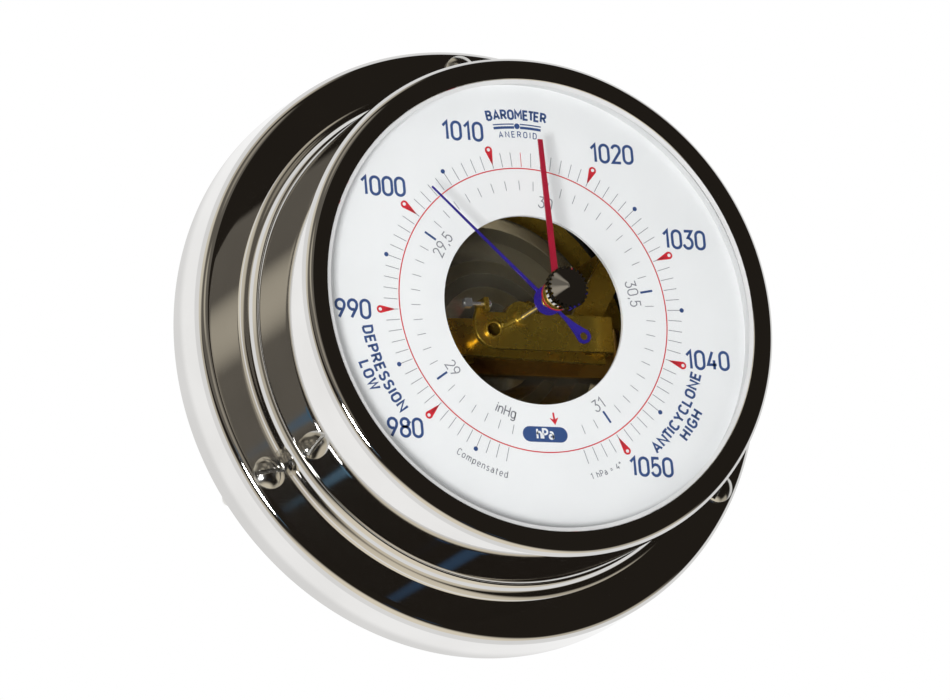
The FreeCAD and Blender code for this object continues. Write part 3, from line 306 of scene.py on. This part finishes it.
def turn_flange():
    """Flat-fronted ring with a rounded edge and a side that spreads a little at the wall."""
    side, crease, foot = 64.4, 64.45, 64.75
    profile = [(foot, 0), (crease - 0.01, FLANGE_CREASE - GUARD),
               (crease, FLANGE_CREASE + GUARD),
               (side, ROUND_START - GUARD), (side, ROUND_START)]
    profile += bent((side, ROUND_START), (FLANGE_FLAT, FLANGE_FRONT), FLANGE_ROUND)
    profile += [(FLANGE_FLAT, FLANGE_FRONT), (FLANGE_FLAT - GUARD, FLANGE_FRONT),
                (DRUM + THREAD_GAP, FLANGE_FRONT), (DRUM + THREAD_GAP, FLANGE_BACK),
                (side - FLANGE_SHEET, FLANGE_BACK), (crease - FLANGE_SHEET, FLANGE_CREASE),
                (foot - FLANGE_SHEET, 0)]
    lathe("flange_turned", softened(profile), "wall_flange", "chrome")


def turn_body():
    """Drum with the hollow moulding that the bezel sits on."""
    back, front, lip = 3.0, 37.2, 40.0
    step, ridge, shoulder = (55.75, FLANGE_FRONT), (54.8, 15.0), (53.5, SEAT)
    hollow, swell = -4.0, 4.2                   # radii of the moulding's two curves
    profile = [(lip, back), (DRUM, back), (DRUM, SEAT - DRUM_WALL),
               (shoulder[0] - DRUM_WALL, SEAT - DRUM_WALL),
               (ridge[0] - DRUM_WALL, ridge[1]), (step[0] - DRUM_WALL, step[1])]
    profile += [step, *bent(step, ridge, hollow), ridge]
    profile += [*bent(ridge, shoulder, swell), shoulder]
    profile += [(DRUM, SEAT), (DRUM, front), (DRUM - DRUM_WALL, front),
                (DRUM - DRUM_WALL, back + DRUM_WALL), (lip, back + DRUM_WALL)]
    lathe("case_turned", softened(profile), "case_body", "chrome")


def turn_bezel():
    """Straight-sided ring with a rounded front edge and a flat lip over the glass."""
    side, side_top, front, flat = 53.25, 40.9, 42.8, 51.35
    lip, lip_back, bore = 48.3, 42.0, 51.3
    foot_inner, foot_outer = 20.8, 21.8         # front of the foot at the drum and at the side
    profile = [(DRUM + THREAD_GAP, SEAT), (side, SEAT), (side, SEAT + GUARD),
               (side, side_top - GUARD), (side, side_top)]
    profile += bent((side, side_top), (flat, front), side - flat)
    profile += [(flat, front), (flat - GUARD, front), (lip, front), (lip, lip_back),
                (bore, lip_back), (bore, foot_outer), (DRUM + THREAD_GAP, foot_inner)]
    lathe("bezel_turned", softened(profile), "bezel", "chrome")


def turn_eyelet():
    """Hollow rivet of the bridge with its rolled-over front edge."""
    bore, outside, foot, shoulder, roll = 1.35, 1.95, 24.6, 32.55, 0.302
    middle = (-6.9, -2.9)
    profile = [(bore, foot), (outside, foot), (outside, shoulder - GUARD), (outside, shoulder)]
    profile += bent((outside, shoulder), (bore, shoulder), roll, 10)
    profile += [(bore, shoulder), (bore, shoulder - GUARD)]
    lathe("eyelet_rolled", profile, "bridge_eyelet", "brass", middle, steps=96)


# ---------------------------------------------------------------- ink drawing

class Ink:
    """Thin closed solids lying on the dial, gathered into one mesh."""

    def __init__(self, lift=0.0):
        self.corners = []
        self.faces = []
        self.back = DIAL_FACE + lift
        self.front = DIAL_FACE + lift + PRINT_SKIN

    def add_strip(self, left, right, closed=False):
        """A ribbon between two rows of (x, y) points, closed into a thin solid."""
        count = len(left)
        start = len(self.corners)
        for row, level in ((left, self.back), (right, self.back),
                           (left, self.front), (right, self.front)):
            self.corners += [(x, y, level) for x, y in row]

        def at(row, index):
            return start + row * count + index % count

        for index in range(count if closed else count - 1):
            after = index + 1
            self.faces.append((at(2, index), at(3, index), at(3, after), at(2, after)))
            self.faces.append((at(0, index), at(0, after), at(1, after), at(1, index)))
            self.faces.append((at(0, index), at(2, index), at(2, after), at(0, after)))
            self.faces.append((at(1, index), at(1, after), at(3, after), at(3, index)))
        if not closed:
            last = count - 1
            self.faces.append((at(0, 0), at(1, 0), at(3, 0), at(2, 0)))
            self.faces.append((at(0, last), at(2, last), at(3, last), at(1, last)))

    def add_area(self, ring):
        """A filled outline that is star-shaped about its middle."""
        middle_x = sum(x for x, y in ring) / len(ring)
        middle_y = sum(y for x, y in ring) / len(ring)
        start, count = len(self.corners), len(ring)
        for level in (self.back, self.front):
            self.corners += [(x, y, level) for x, y in ring]
            self.corners.append((middle_x, middle_y, level))
        for index in range(count):
            after = (index + 1) % count
            low, high = start + index, start + count + 1 + index
            low_next, high_next = start + after, start + count + 1 + after
            self.faces.append((low_next, low, start + count))
            self.faces.append((high, high_next, start + 2 * count + 1))
            self.faces.append((low, low_next, high_next, high))

    def make(self, name, material):
        """Mesh from the gathered corners, in millimetres on the dial, stood up on the wall."""
        mesh = bpy.data.meshes.new(name)
        mesh.from_pydata([(x * MM, -z * MM, y * MM) for x, y, z in self.corners], [], self.faces)
        mesh.materials.append(material)
        piece = bpy.data.objects.new(name, mesh)
        bpy.context.scene.collection.objects.link(piece)
        face_outward(piece)
        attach(piece, "case")


def on_dial(radius, degrees):
    """Point at a radius, clockwise from the top."""
    turn = math.radians(degrees)
    return radius * math.sin(turn), radius * math.cos(turn)


def draw_line(ink, points, width, closed=False):
    """A pen line of even width with mitred corners."""
    points = [spot for index, spot in enumerate(points)
              if index == 0 or math.dist(spot, points[index - 1]) > 1e-6]
    count = len(points)
    left, right = [], []
    for index, (x, y) in enumerate(points):
        before = points[index - 1] if closed or index > 0 else None
        after = points[(index + 1) % count] if closed or index < count - 1 else None
        ways = []
        for first, second in ((before, (x, y)), ((x, y), after)):
            if first is None or second is None:
                continue
            way = Vector((second[0] - first[0], second[1] - first[1]))
            ways.append(way.normalized())
        along = sum(ways, Vector((0, 0))).normalized()
        stretch = 1 / max(along.dot(ways[0]), 0.5)
        side = Vector((-along.y, along.x)) * width / 2 * stretch
        left.append((x + side.x, y + side.y))
        right.append((x - side.x, y - side.y))
    ink.add_strip(left, right, closed)


def draw_ring(ink, radius, width, steps=360):
    left = [on_dial(radius + width / 2, 360 * step / steps) for step in range(steps)]
    right = [on_dial(radius - width / 2, 360 * step / steps) for step in range(steps)]
    ink.add_strip(left, right, closed=True)


def draw_tick(ink, inner, outer, degrees, width):
    draw_line(ink, [on_dial(inner, degrees), on_dial(outer, degrees)], width)


def draw_dot(ink, x, y, radius, steps=24):
    ring = [(x + radius * math.cos(math.tau * step / steps),
             y + radius * math.sin(math.tau * step / steps)) for step in range(steps)]
    ink.add_area(ring)


# ---------------------------------------------------------------- pen lettering

def bow(cx, cy, rx, ry, start, end, steps=10):
    """Points on an ellipse, degrees anticlockwise from the right."""
    turns = [math.radians(start + (end - start) * step / steps) for step in range(steps + 1)]
    return [(cx + rx * math.cos(turn), cy + ry * math.sin(turn)) for turn in turns]


def oval(left, right, low, high, curve=None):
    """A round-ended loop drawn as one closed stroke."""
    half = (right - left) / 2
    tall = curve or half
    return (bow(left + half, high - tall, half, tall, 0, 180)
            + bow(left + half, low + tall, half, tall, 180, 360))


def letter_strokes():
    """Width and strokes of each sign; capitals are one unit tall, closed strokes end in True."""
    return {
        "0": (0.52, [(oval(0.0, 0.52, 0, 1), True)]),
        "1": (0.34, [([(0.02, 0.76), (0.27, 1.0), (0.27, 0)], False)]),
        "2": (0.50, [(bow(0.25, 0.74, 0.24, 0.26, 165, -30) + [(0.02, 0), (0.51, 0)], False)]),
        "3": (0.50, [([(0.02, 1), (0.47, 1), (0.24, 0.62)]
                      + bow(0.22, 0.31, 0.27, 0.31, 78, -165), False)]),
        "4": (0.54, [([(0.32, 1), (0.02, 0.26), (0.54, 0.26)], False),
                     ([(0.40, 0.52), (0.40, 0)], False)]),
        "5": (0.50, [([(0.46, 1), (0.08, 1), (0.05, 0.52)]
                      + bow(0.24, 0.32, 0.26, 0.32, 120, -160), False)]),
        "8": (0.52, [(oval(0.03, 0.49, 0.54, 1, 0.23), True),
                     (oval(0.0, 0.52, 0, 0.54, 0.26), True)]),
        "9": (0.52, [([(0.16, 0), (0.47, 0.54)] + bow(0.26, 0.72, 0.26, 0.28, -30, 290),
                      False)]),
        "A": (0.60, [([(0, 0), (0.30, 1), (0.60, 0)], False),
                     ([(0.11, 0.30), (0.49, 0.30)], False)]),
        "B": (0.54, [([(0, 0), (0, 1), (0.28, 1)] + bow(0.28, 0.77, 0.20, 0.23, 90, -90)
                      + [(0, 0.54)], False),
                     ([(0.28, 0.54)] + bow(0.28, 0.27, 0.24, 0.27, 90, -90) + [(0, 0)], False)]),
        "C": (0.50, [(bow(0.26, 0.72, 0.26, 0.28, 30, 180)
                      + bow(0.26, 0.28, 0.26, 0.28, 180, 330), False)]),
        "D": (0.54, [([(0, 0), (0, 1), (0.24, 1)] + bow(0.24, 0.70, 0.28, 0.30, 90, 0)
                      + bow(0.24, 0.30, 0.28, 0.30, 0, -90) + [(0, 0)], False)]),
        "E": (0.46, [([(0.46, 1), (0, 1), (0, 0), (0.46, 0)], False),
                     ([(0, 0.52), (0.40, 0.52)], False)]),
        "G": (0.54, [(bow(0.27, 0.72, 0.27, 0.28, 30, 180)
                      + bow(0.27, 0.28, 0.27, 0.28, 180, 360)
                      + [(0.54, 0.46), (0.30, 0.46)], False)]),
        "H": (0.54, [([(0, 0), (0, 1)], False), ([(0.54, 0), (0.54, 1)], False),
                     ([(0, 0.52), (0.54, 0.52)], False)]),
        "I": (0.04, [([(0.02, 0), (0.02, 1)], False)]),
        "L": (0.44, [([(0, 1), (0, 0), (0.44, 0)], False)]),
        "M": (0.66, [([(0, 0), (0, 1), (0.33, 0.40), (0.66, 1), (0.66, 0)], False)]),
        "N": (0.56, [([(0, 0), (0, 1), (0.56, 0), (0.56, 1)], False)]),
        "O": (0.54, [(oval(0, 0.54, 0, 1, 0.28), True)]),
        "P": (0.50, [([(0, 0), (0, 1), (0.26, 1)] + bow(0.26, 0.73, 0.24, 0.27, 90, -90)
                      + [(0, 0.46)], False)]),
        "R": (0.52, [([(0, 0), (0, 1), (0.26, 1)] + bow(0.26, 0.74, 0.24, 0.26, 90, -90)
                      + [(0, 0.48)], False), ([(0.26, 0.48), (0.52, 0)], False)]),
        "S": (0.50, [(bow(0.25, 0.76, 0.24, 0.24, 30, 250)
                      + bow(0.25, 0.26, 0.25, 0.26, 70, -150), False)]),
        "T": (0.52, [([(0, 1), (0.52, 1)], False), ([(0.26, 1), (0.26, 0)], False)]),
        "W": (0.80, [([(0, 1), (0.20, 0), (0.40, 0.90), (0.60, 0), (0.80, 1)], False)]),
        "Y": (0.56, [([(0, 1), (0.28, 0.46), (0.56, 1)], False),
                     ([(0.28, 0.46), (0.28, 0)], False)]),
        "a": (0.42, [([(0.42, 0.46), (0.42, 0)], False),
                     (bow(0.21, 0.44, 0.20, 0.26, 130, 0), False),
                     (oval(0.0, 0.42, 0, 0.42, 0.20), True)]),
        "d": (0.44, [([(0.44, 1), (0.44, 0)], False), (oval(0, 0.44, 0, 0.70), True)]),
        "e": (0.44, [([(0.02, 0.36), (0.44, 0.36)] + bow(0.22, 0.46, 0.22, 0.24, 0, 180)
                      + bow(0.22, 0.24, 0.22, 0.24, 180, 320), False)]),
        "g": (0.44, [([(0.44, 0.70), (0.44, -0.06)] + bow(0.22, -0.06, 0.22, 0.20, 0, -150),
                      False),
                     (oval(0, 0.44, 0, 0.70), True)]),
        "h": (0.44, [([(0, 0), (0, 1)], False),
                     (bow(0.22, 0.44, 0.22, 0.26, 180, 0) + [(0.44, 0)], False)]),
        "i": (0.04, [([(0.02, 0), (0.02, 0.70)], False),
                     ([(0.02, 0.84), (0.02, 0.96)], False)]),
        "m": (0.68, [([(0, 0), (0, 0.70)], False),
                     (bow(0.17, 0.50, 0.17, 0.20, 180, 0) + [(0.34, 0)], False),
                     (bow(0.51, 0.50, 0.17, 0.20, 180, 0) + [(0.68, 0)], False)]),
        "n": (0.42, [([(0, 0), (0, 0.70)], False),
                     (bow(0.21, 0.48, 0.21, 0.22, 180, 0) + [(0.42, 0)], False)]),
        "o": (0.44, [(oval(0, 0.44, 0, 0.70), True)]),
        "p": (0.44, [([(0, -0.26), (0, 0.70)], False), (oval(0, 0.44, 0, 0.70), True)]),
        "s": (0.38, [(bow(0.19, 0.53, 0.18, 0.17, 30, 250)
                      + bow(0.19, 0.18, 0.19, 0.18, 70, -150), False)]),
        "t": (0.30, [([(0.12, 0.94), (0.12, 0.14)] + bow(0.24, 0.14, 0.12, 0.14, 180, 270),
                      False),
                     ([(0, 0.70), (0.30, 0.70)], False)]),
        ",": (0.10, [([(0.08, 0.06), (0.02, -0.16)], False)]),
        "=": (0.44, [([(0, 0.34), (0.44, 0.34)], False),
                     ([(0, 0.60), (0.44, 0.60)], False)]),
        "*": (0.22, [(oval(0, 0.22, 0.78, 1.0), True)]),
        " ": (0.20, []),
    }


SIGNS = letter_strokes()
LETTER_GAP = 0.22                               # as a share of the letters' height
T_TUCK = 0.14


def sign_gap(sign, after, gap):
    """Gap between two signs; the open sides of a T let its neighbours stand closer."""
    return gap - T_TUCK if "T" in (sign, after) else gap


def text_width(words, height, gap=LETTER_GAP):
    gaps = sum(sign_gap(sign, after, gap) for sign, after in zip(words, words[1:]))
    return height * (sum(SIGNS[sign][0] for sign in words) + gaps)


def draw_sign(ink, sign, height, pen, place):
    """place maps a point of the sign, in millimetres, onto the dial."""
    for points, closed in SIGNS[sign][1]:
        if closed:
            points = points[:-1] if points[0] == points[-1] else points
        draw_line(ink, [place(x * height, y * height) for x, y in points], pen, closed)


def level_text(ink, words, x, y, height, pen):
    """Upright words centred on a point."""
    left = x - text_width(words, height) / 2
    foot = y - height / 2
    for sign, after in zip(words, words[1:] + " "):
        draw_sign(ink, sign, height, pen, lambda u, v: (left + u, foot + v))
        left += height * (SIGNS[sign][0] + sign_gap(sign, after, LETTER_GAP))


def curved_text(ink, words, low, high, middle, pen, outward=True, gap=LETTER_GAP, widen=1.0):
    """Words along a circle between two radii, read from inside or outside the circle."""
    height = high - low
    run = -text_width(words, height, gap) * widen / 2
    mean = (low + high) / 2
    for sign, after in zip(words, words[1:] + " "):
        width = SIGNS[sign][0] * height * widen
        centre = run + width / 2
        turn = math.degrees(centre / mean)
        degrees = middle + turn if outward else middle - turn
        out_x, out_y = on_dial(1, degrees)
        base = low if outward else high
        facing = 1 if outward else -1

        def place(u, v):
            across = (u * widen - width / 2) * facing
            up = base + v * facing
            return out_x * up + out_y * across, out_y * up - out_x * across

        draw_sign(ink, sign, height, pen, place)
        run += width + sign_gap(sign, after, gap) * height * widen


# ---------------------------------------------------------------- dial printing

# Ends of the two scales, and the widths of their lines in millimetres.
LOWEST_HPA, HIGHEST_HPA = 972, 1054
LOWEST_TWENTIETH, HIGHEST_TWENTIETH = 574, 622  # twentieths of an inch: 28.70 to 31.10
RING_PEN = 0.24
TICK_PEN = 0.13
HALF_INCH_PEN = 0.46
NUMERAL_PEN = 0.60
WORD_PEN = 0.50
SMALL_PEN = 0.17
TITLE_ANGLE = -0.3                              # the words at the top stand a little left


def hpa_angle(pressure):
    return (pressure - MIDDLE_HPA) * DEGREES_PER_HPA


def units(share):
    """A length given as a share of the scale's radius."""
    return share * SCALE_RADIUS


def print_hpa_scale(grey, blue, red):
    ring, tick_start, tick_end, dots, dot_size = 0.970, 0.982, 1.080, 1.088, 0.0155
    draw_ring(red, units(ring), RING_PEN)
    for pressure in range(LOWEST_HPA, HIGHEST_HPA + 1):
        angle = hpa_angle(pressure)
        ink = red if pressure == MIDDLE_HPA else grey
        draw_tick(ink, units(tick_start), units(tick_end), angle, TICK_PEN)
        if pressure % 10 == 5:
            draw_dot(blue, *on_dial(units(dots), angle), units(dot_size))


def drop_outline(head, radius, tip, angle, steps=20):
    """Drop with its point inward at the tip radius and its round head outward."""
    reach = head - tip
    lean = math.degrees(math.acos(radius / reach))
    turns = [180 - lean - (360 - 2 * lean) * step / steps for step in range(steps + 1)]
    ring = []
    out_x, out_y = on_dial(1, angle)
    for turn in turns:
        along = head + radius * math.cos(math.radians(turn))
        across = radius * math.sin(math.radians(turn))
        ring.append((out_x * along + out_y * across, out_y * along - out_x * across))
    ring.append((out_x * tip, out_y * tip))
    return ring


# Share of the scale's radius and sideways shift in degrees that keep each numeral clear.
NUMERAL_PLACES = {
    980: (1.304, 2.3),
    990: (1.307, 0.1),
    1000: (1.297, 0.2),
    1010: (1.277, -6.7),
    1020: (1.293, 3.4),
    1030: (1.269, -2.7),
    1040: (1.279, -4.4),
    1050: (1.289, -3.8),
}


def print_markers(blue, red, white):
    """Red drop with a white eye and a blue numeral at every ten hectopascals."""
    head, head_size, eye, eye_size, height = 1.110, 0.0262, 1.112, 0.0115, 0.120
    for pressure, (radius, shift) in NUMERAL_PLACES.items():
        angle = hpa_angle(pressure)
        red.add_area(drop_outline(units(head), units(head_size), units(1.0), angle))
        draw_dot(white, *on_dial(units(eye), angle), units(eye_size), 16)
        x, y = on_dial(units(radius), angle + shift)
        level_text(blue, str(pressure), x, y, units(height), NUMERAL_PEN)


def print_inch_scale(grey, blue):
    """Twentieths of an inch of mercury, with numbers at every half inch."""
    half_start, half_end, fine_start, fine_end = 0.806, 0.897, 0.820, 0.885
    low, high = units(0.715), units(0.790)
    for step in range(LOWEST_TWENTIETH, HIGHEST_TWENTIETH + 1):
        angle = hpa_angle(step / 20 * HPA_PER_INCH)
        if step % 10 == 0:
            draw_tick(blue, units(half_start), units(half_end), angle, HALF_INCH_PEN)
        else:
            draw_tick(grey, units(fine_start), units(fine_end), angle, TICK_PEN)
    for words, inches, outward in (("29", 29, False), ("29,5", 29.5, True), ("30", 30, True),
                                   ("30,5", 30.5, True), ("31", 31, False)):
        angle = hpa_angle(inches * HPA_PER_INCH)
        curved_text(grey, words, low, high, angle, 0.24, outward)
    curved_text(grey, "inHg", units(0.712), units(0.778), 201.1, 0.26, False)


def print_words(grey, blue):
    """Words on circles: inner and outer share of the scale's radius, middle angle, gap."""
    for words, low, high, middle, gap in (("DEPRESSION", 1.192, 1.257, 248.6, 0.30),
                                          ("LOW", 1.288, 1.353, 248.2, 0.30),
                                          ("ANTICYCLONE", 1.183, 1.248, 124.2, 0.30),
                                          ("HIGH", 1.280, 1.345, 124.8, 0.34)):
        curved_text(blue, words, units(low), units(high), middle, WORD_PEN, False, gap, 1.25)
    curved_text(grey, "Compensated", units(1.146), units(1.190), 204.0, SMALL_PEN, False, 0.36)
    curved_text(grey, "1 hPa = 4*", units(1.146), units(1.184), 158.7, SMALL_PEN, False, 0.32)
    curved_text(blue, "BAROMETER", units(1.312), units(1.370), TITLE_ANGLE, 0.46, True, 0.28,
                1.1)
    curved_text(blue, "ANEROID", units(1.186), units(1.224), TITLE_ANGLE, 0.19, True, 0.5, 1.15)


def arc_band(ink, low, high, start, end, steps=24):
    """Filled band between two radii and two angles."""
    turns = [start + (end - start) * step / steps for step in range(steps + 1)]
    ink.add_strip([on_dial(high, turn) for turn in turns], [on_dial(low, turn) for turn in turns])


def print_emblem(blue):
    """Plain double rule with a dot between its halves, under the word at the top."""
    near, far = 1.0, 7.9                        # ends of each half, in degrees from the middle
    for low, thick in ((1.244, 0.55), (1.272, 0.25)):
        arc_band(blue, units(low), units(low) + thick, TITLE_ANGLE - far, TITLE_ANGLE - near)
        arc_band(blue, units(low), units(low) + thick, TITLE_ANGLE + near, TITLE_ANGLE + far)
    draw_dot(blue, *on_dial(units(1.262), TITLE_ANGLE), 0.62)


def print_plaque(blue, red, white):
    """Round-ended unit plaque over the bottom of the scale with a small arrow above it."""
    middle_y, half_wide, half_tall = -units(0.848), 5.1, 1.65
    head_tip, head_wing, head_notch = 0.786, 0.737, 0.750
    shaft_start, shaft_end = 0.702, 0.752
    straight = half_wide - half_tall
    blue.add_area(bow(straight, middle_y, half_tall, half_tall, -90, 90)
                  + bow(-straight, middle_y, half_tall, half_tall, 90, 270))
    level_text(white, "hPa", 0.0, middle_y + 0.1, 2.0, 0.42)
    angle, spread = 174.2, 2.5
    arrow = [on_dial(units(head_tip), angle), on_dial(units(head_wing), angle - spread),
             on_dial(units(head_notch), angle), on_dial(units(head_wing), angle + spread)]
    red.add_area(arrow)
    draw_tick(red, units(shaft_start), units(shaft_end), angle, 0.40)


def print_dial():
    grey, blue, red = Ink(), Ink(), Ink()
    white = Ink(lift=PRINT_SKIN)
    print_hpa_scale(grey, blue, red)
    print_markers(blue, red, white)
    print_inch_scale(grey, blue)
    print_words(grey, blue)
    print_emblem(blue)
    print_plaque(blue, red, white)
    for name, ink in (("grey", grey), ("blue", blue), ("red", red), ("white", white)):
        ink.make("dial_print_" + name, INKS[name])


# ---------------------------------------------------------------- studio

def sky_mask(tree, direction, towards, start, end):
    """0 away from a direction and 1 around it, by the dot product."""
    dot = tree.nodes.new("ShaderNodeVectorMath")
    dot.operation = "DOT_PRODUCT"
    dot.inputs[1].default_value = Vector(towards).normalized()
    link(tree, direction, dot.inputs[0])
    node = tree.nodes.new("ShaderNodeMapRange")
    node.interpolation_type = "SMOOTHSTEP"
    node.inputs["From Min"].default_value = start
    node.inputs["From Max"].default_value = end
    link(tree, dot.outputs["Value"], node.inputs["Value"])
    return node.outputs["Result"]


def sky_layer(tree, below, colour, mask):
    mix = tree.nodes.new("ShaderNodeMix")
    mix.data_type = "RGBA"
    link(tree, mask, mix.inputs["Factor"])
    link(tree, below, mix.inputs["A"])
    mix.inputs["B"].default_value = (*colour, 1)
    return mix.outputs["Result"]


def dial_direction(azimuth, elevation):
    """Direction clockwise from the dial's top and above the dial's plane, in degrees."""
    turn, rise = math.radians(azimuth), math.radians(elevation)
    return (math.cos(rise) * math.sin(turn), -math.sin(rise), math.cos(rise) * math.cos(turn))


BACKDROP = (1.0, 1.0, 1.0)
SCATTERED_GREY = (0.44, 0.44, 0.44)
DARK_ROOM = (0.016, 0.013, 0.010)
SKY_PATCHES = [
    # Colour, azimuth, elevation, then outer and inner angle of the soft edge; later ones
    # lie over earlier ones.
    ((0.125, 0.113, 0.095), 314, 56, 36, 31),
    ((0.46, 0.42, 0.34), 313, 58, 11, 1),
    ((0.30, 0.27, 0.22), 290, 75, 14, 5),
    ((0.30, 0.27, 0.22), 350, 46, 12, 6),
    ((0.50, 0.455, 0.37), 0, -90, 118, 105),
    ((0.76, 0.69, 0.56), 185, 8, 46, 26),
    ((0.68, 0.63, 0.52), 305, 10, 26, 10),
    (DARK_ROOM, 58, 5, 62, 50),
    ((0.80, 0.80, 0.80), 0, -90, 95, 89),
    ((0.97, 0.97, 0.97), 0, -90, 31.0, 30.0),
    ((0.03, 0.06, 0.11), 155, 60, 2.8, 1.0),
    ((0.022, 0.045, 0.09), 171, 59, 2.4, 0.8),
    ((0.10, 0.20, 0.30), 224, 60, 2.4, 1.0),
    ((0.05, 0.13, 0.22), 254, 60, 2.4, 1.0),
]


def make_world():
    """White to the camera, even grey to scattered light and a patched room in reflections."""
    world = bpy.data.worlds.new("studio")
    bpy.context.scene.world = world
    world.use_nodes = True
    # No light is aimed at the world, so scattered light always gets the even grey below.
    world.cycles.sampling_method = "NONE"
    tree = world.node_tree
    background = tree.nodes["Background"]
    place = tree.nodes.new("ShaderNodeTexCoord")
    room = tree.nodes.new("ShaderNodeRGB")
    room.outputs[0].default_value = (*DARK_ROOM, 1)
    colour = room.outputs[0]
    for tint, azimuth, elevation, outer, inner in SKY_PATCHES:
        mask = sky_mask(tree, place.outputs["Generated"], dial_direction(azimuth, elevation),
                        math.cos(math.radians(outer)), math.cos(math.radians(inner)))
        colour = sky_layer(tree, colour, tint, mask)
    path = tree.nodes.new("ShaderNodeLightPath")
    scattered = tree.nodes.new("ShaderNodeMath")
    scattered.operation = "GREATER_THAN"
    scattered.inputs[1].default_value = 0.5
    link(tree, path.outputs["Diffuse Depth"], scattered.inputs[0])
    colour = sky_layer(tree, colour, SCATTERED_GREY, scattered.outputs["Value"])
    colour = sky_layer(tree, colour, BACKDROP, path.outputs["Is Camera Ray"])
    link(tree, colour, background.inputs["Color"])


def make_light(name, place, target, size, power):
    data = bpy.data.lights.new(name, "AREA")
    data.shape = "DISK"
    data.size = size
    data.energy = power
    lamp = bpy.data.objects.new(name, data)
    lamp.location = place
    lamp.rotation_mode = "QUATERNION"
    lamp.rotation_quaternion = (Vector(target) - Vector(place)).to_track_quat("-Z", "Y")
    bpy.context.scene.collection.objects.link(lamp)


def make_floor():
    """Pale glowing floor well below the instrument, clear when seen from underneath."""
    half, level, glow = 3.0, -0.75, 0.26
    material, tree, shader = new_material("pale_floor")
    cloud = noise(tree, 3.0, 4.0)
    link(tree, tinted(tree, cloud, (0.86, 0.86, 0.86), (0.90, 0.90, 0.90)),
         shader.inputs["Base Color"])
    shader.inputs["Roughness"].default_value = 0.7
    shader.inputs["Emission Color"].default_value = (1, 1, 1, 1)
    shader.inputs["Emission Strength"].default_value = glow
    facing = tree.nodes.new("ShaderNodeNewGeometry")
    link(tree, ranged(tree, facing.outputs["Backfacing"], 1.0, 0.0), shader.inputs["Alpha"])
    mesh = bpy.data.meshes.new("floor")
    mesh.from_pydata([(-half, -half, level), (half, -half, level), (half, half, level),
                      (-half, half, level)], [], [(0, 1, 2, 3)])
    mesh.materials.append(material)
    floor = bpy.data.objects.new("floor", mesh)
    bpy.context.scene.collection.objects.link(floor)
    floor.visible_glossy = False


CAMERA_PLACE = (-0.6330, -1.3125, -0.3914)      # metres, 1.5 m off, left of the dial and below
CAMERA_FORWARD = (0.42164, 0.86854, 0.26049)
CAMERA_UP = (-0.03554, -0.27122, 0.96186)
CAMERA_LENS = 271.35                            # focal length on a 36 mm wide sensor


def make_camera():
    data = bpy.data.cameras.new("camera")
    data.sensor_width = 36.0
    data.lens = CAMERA_LENS
    data.clip_start = 0.05
    data.clip_end = 20.0
    camera = bpy.data.objects.new("camera", data)
    camera.location = CAMERA_PLACE
    forward = Vector(CAMERA_FORWARD).normalized()
    right = forward.cross(Vector(CAMERA_UP)).normalized()
    up = right.cross(forward)
    camera.rotation_mode = "QUATERNION"
    turn = Matrix((right, up, -forward)).transposed()
    camera.rotation_quaternion = turn.to_quaternion()
    bpy.context.scene.collection.objects.link(camera)
    bpy.context.scene.camera = camera


def make_studio():
    make_world()
    key_distance, key_size, key_power = 1.7, 0.38, 21.0
    key = Vector(dial_direction(238.5, 48.5)) * key_distance
    make_light("key", key, (0, 0, 0), key_size, key_power)
    make_floor()
    make_camera()
    bpy.context.scene.view_settings.view_transform = "Standard"
    bpy.context.scene.view_settings.look = "None"


# ---------------------------------------------------------------- assembly

dress_cad_nodes()
turn_flange()
turn_body()
turn_bezel()
turn_eyelet()
print_dial()
make_studio()
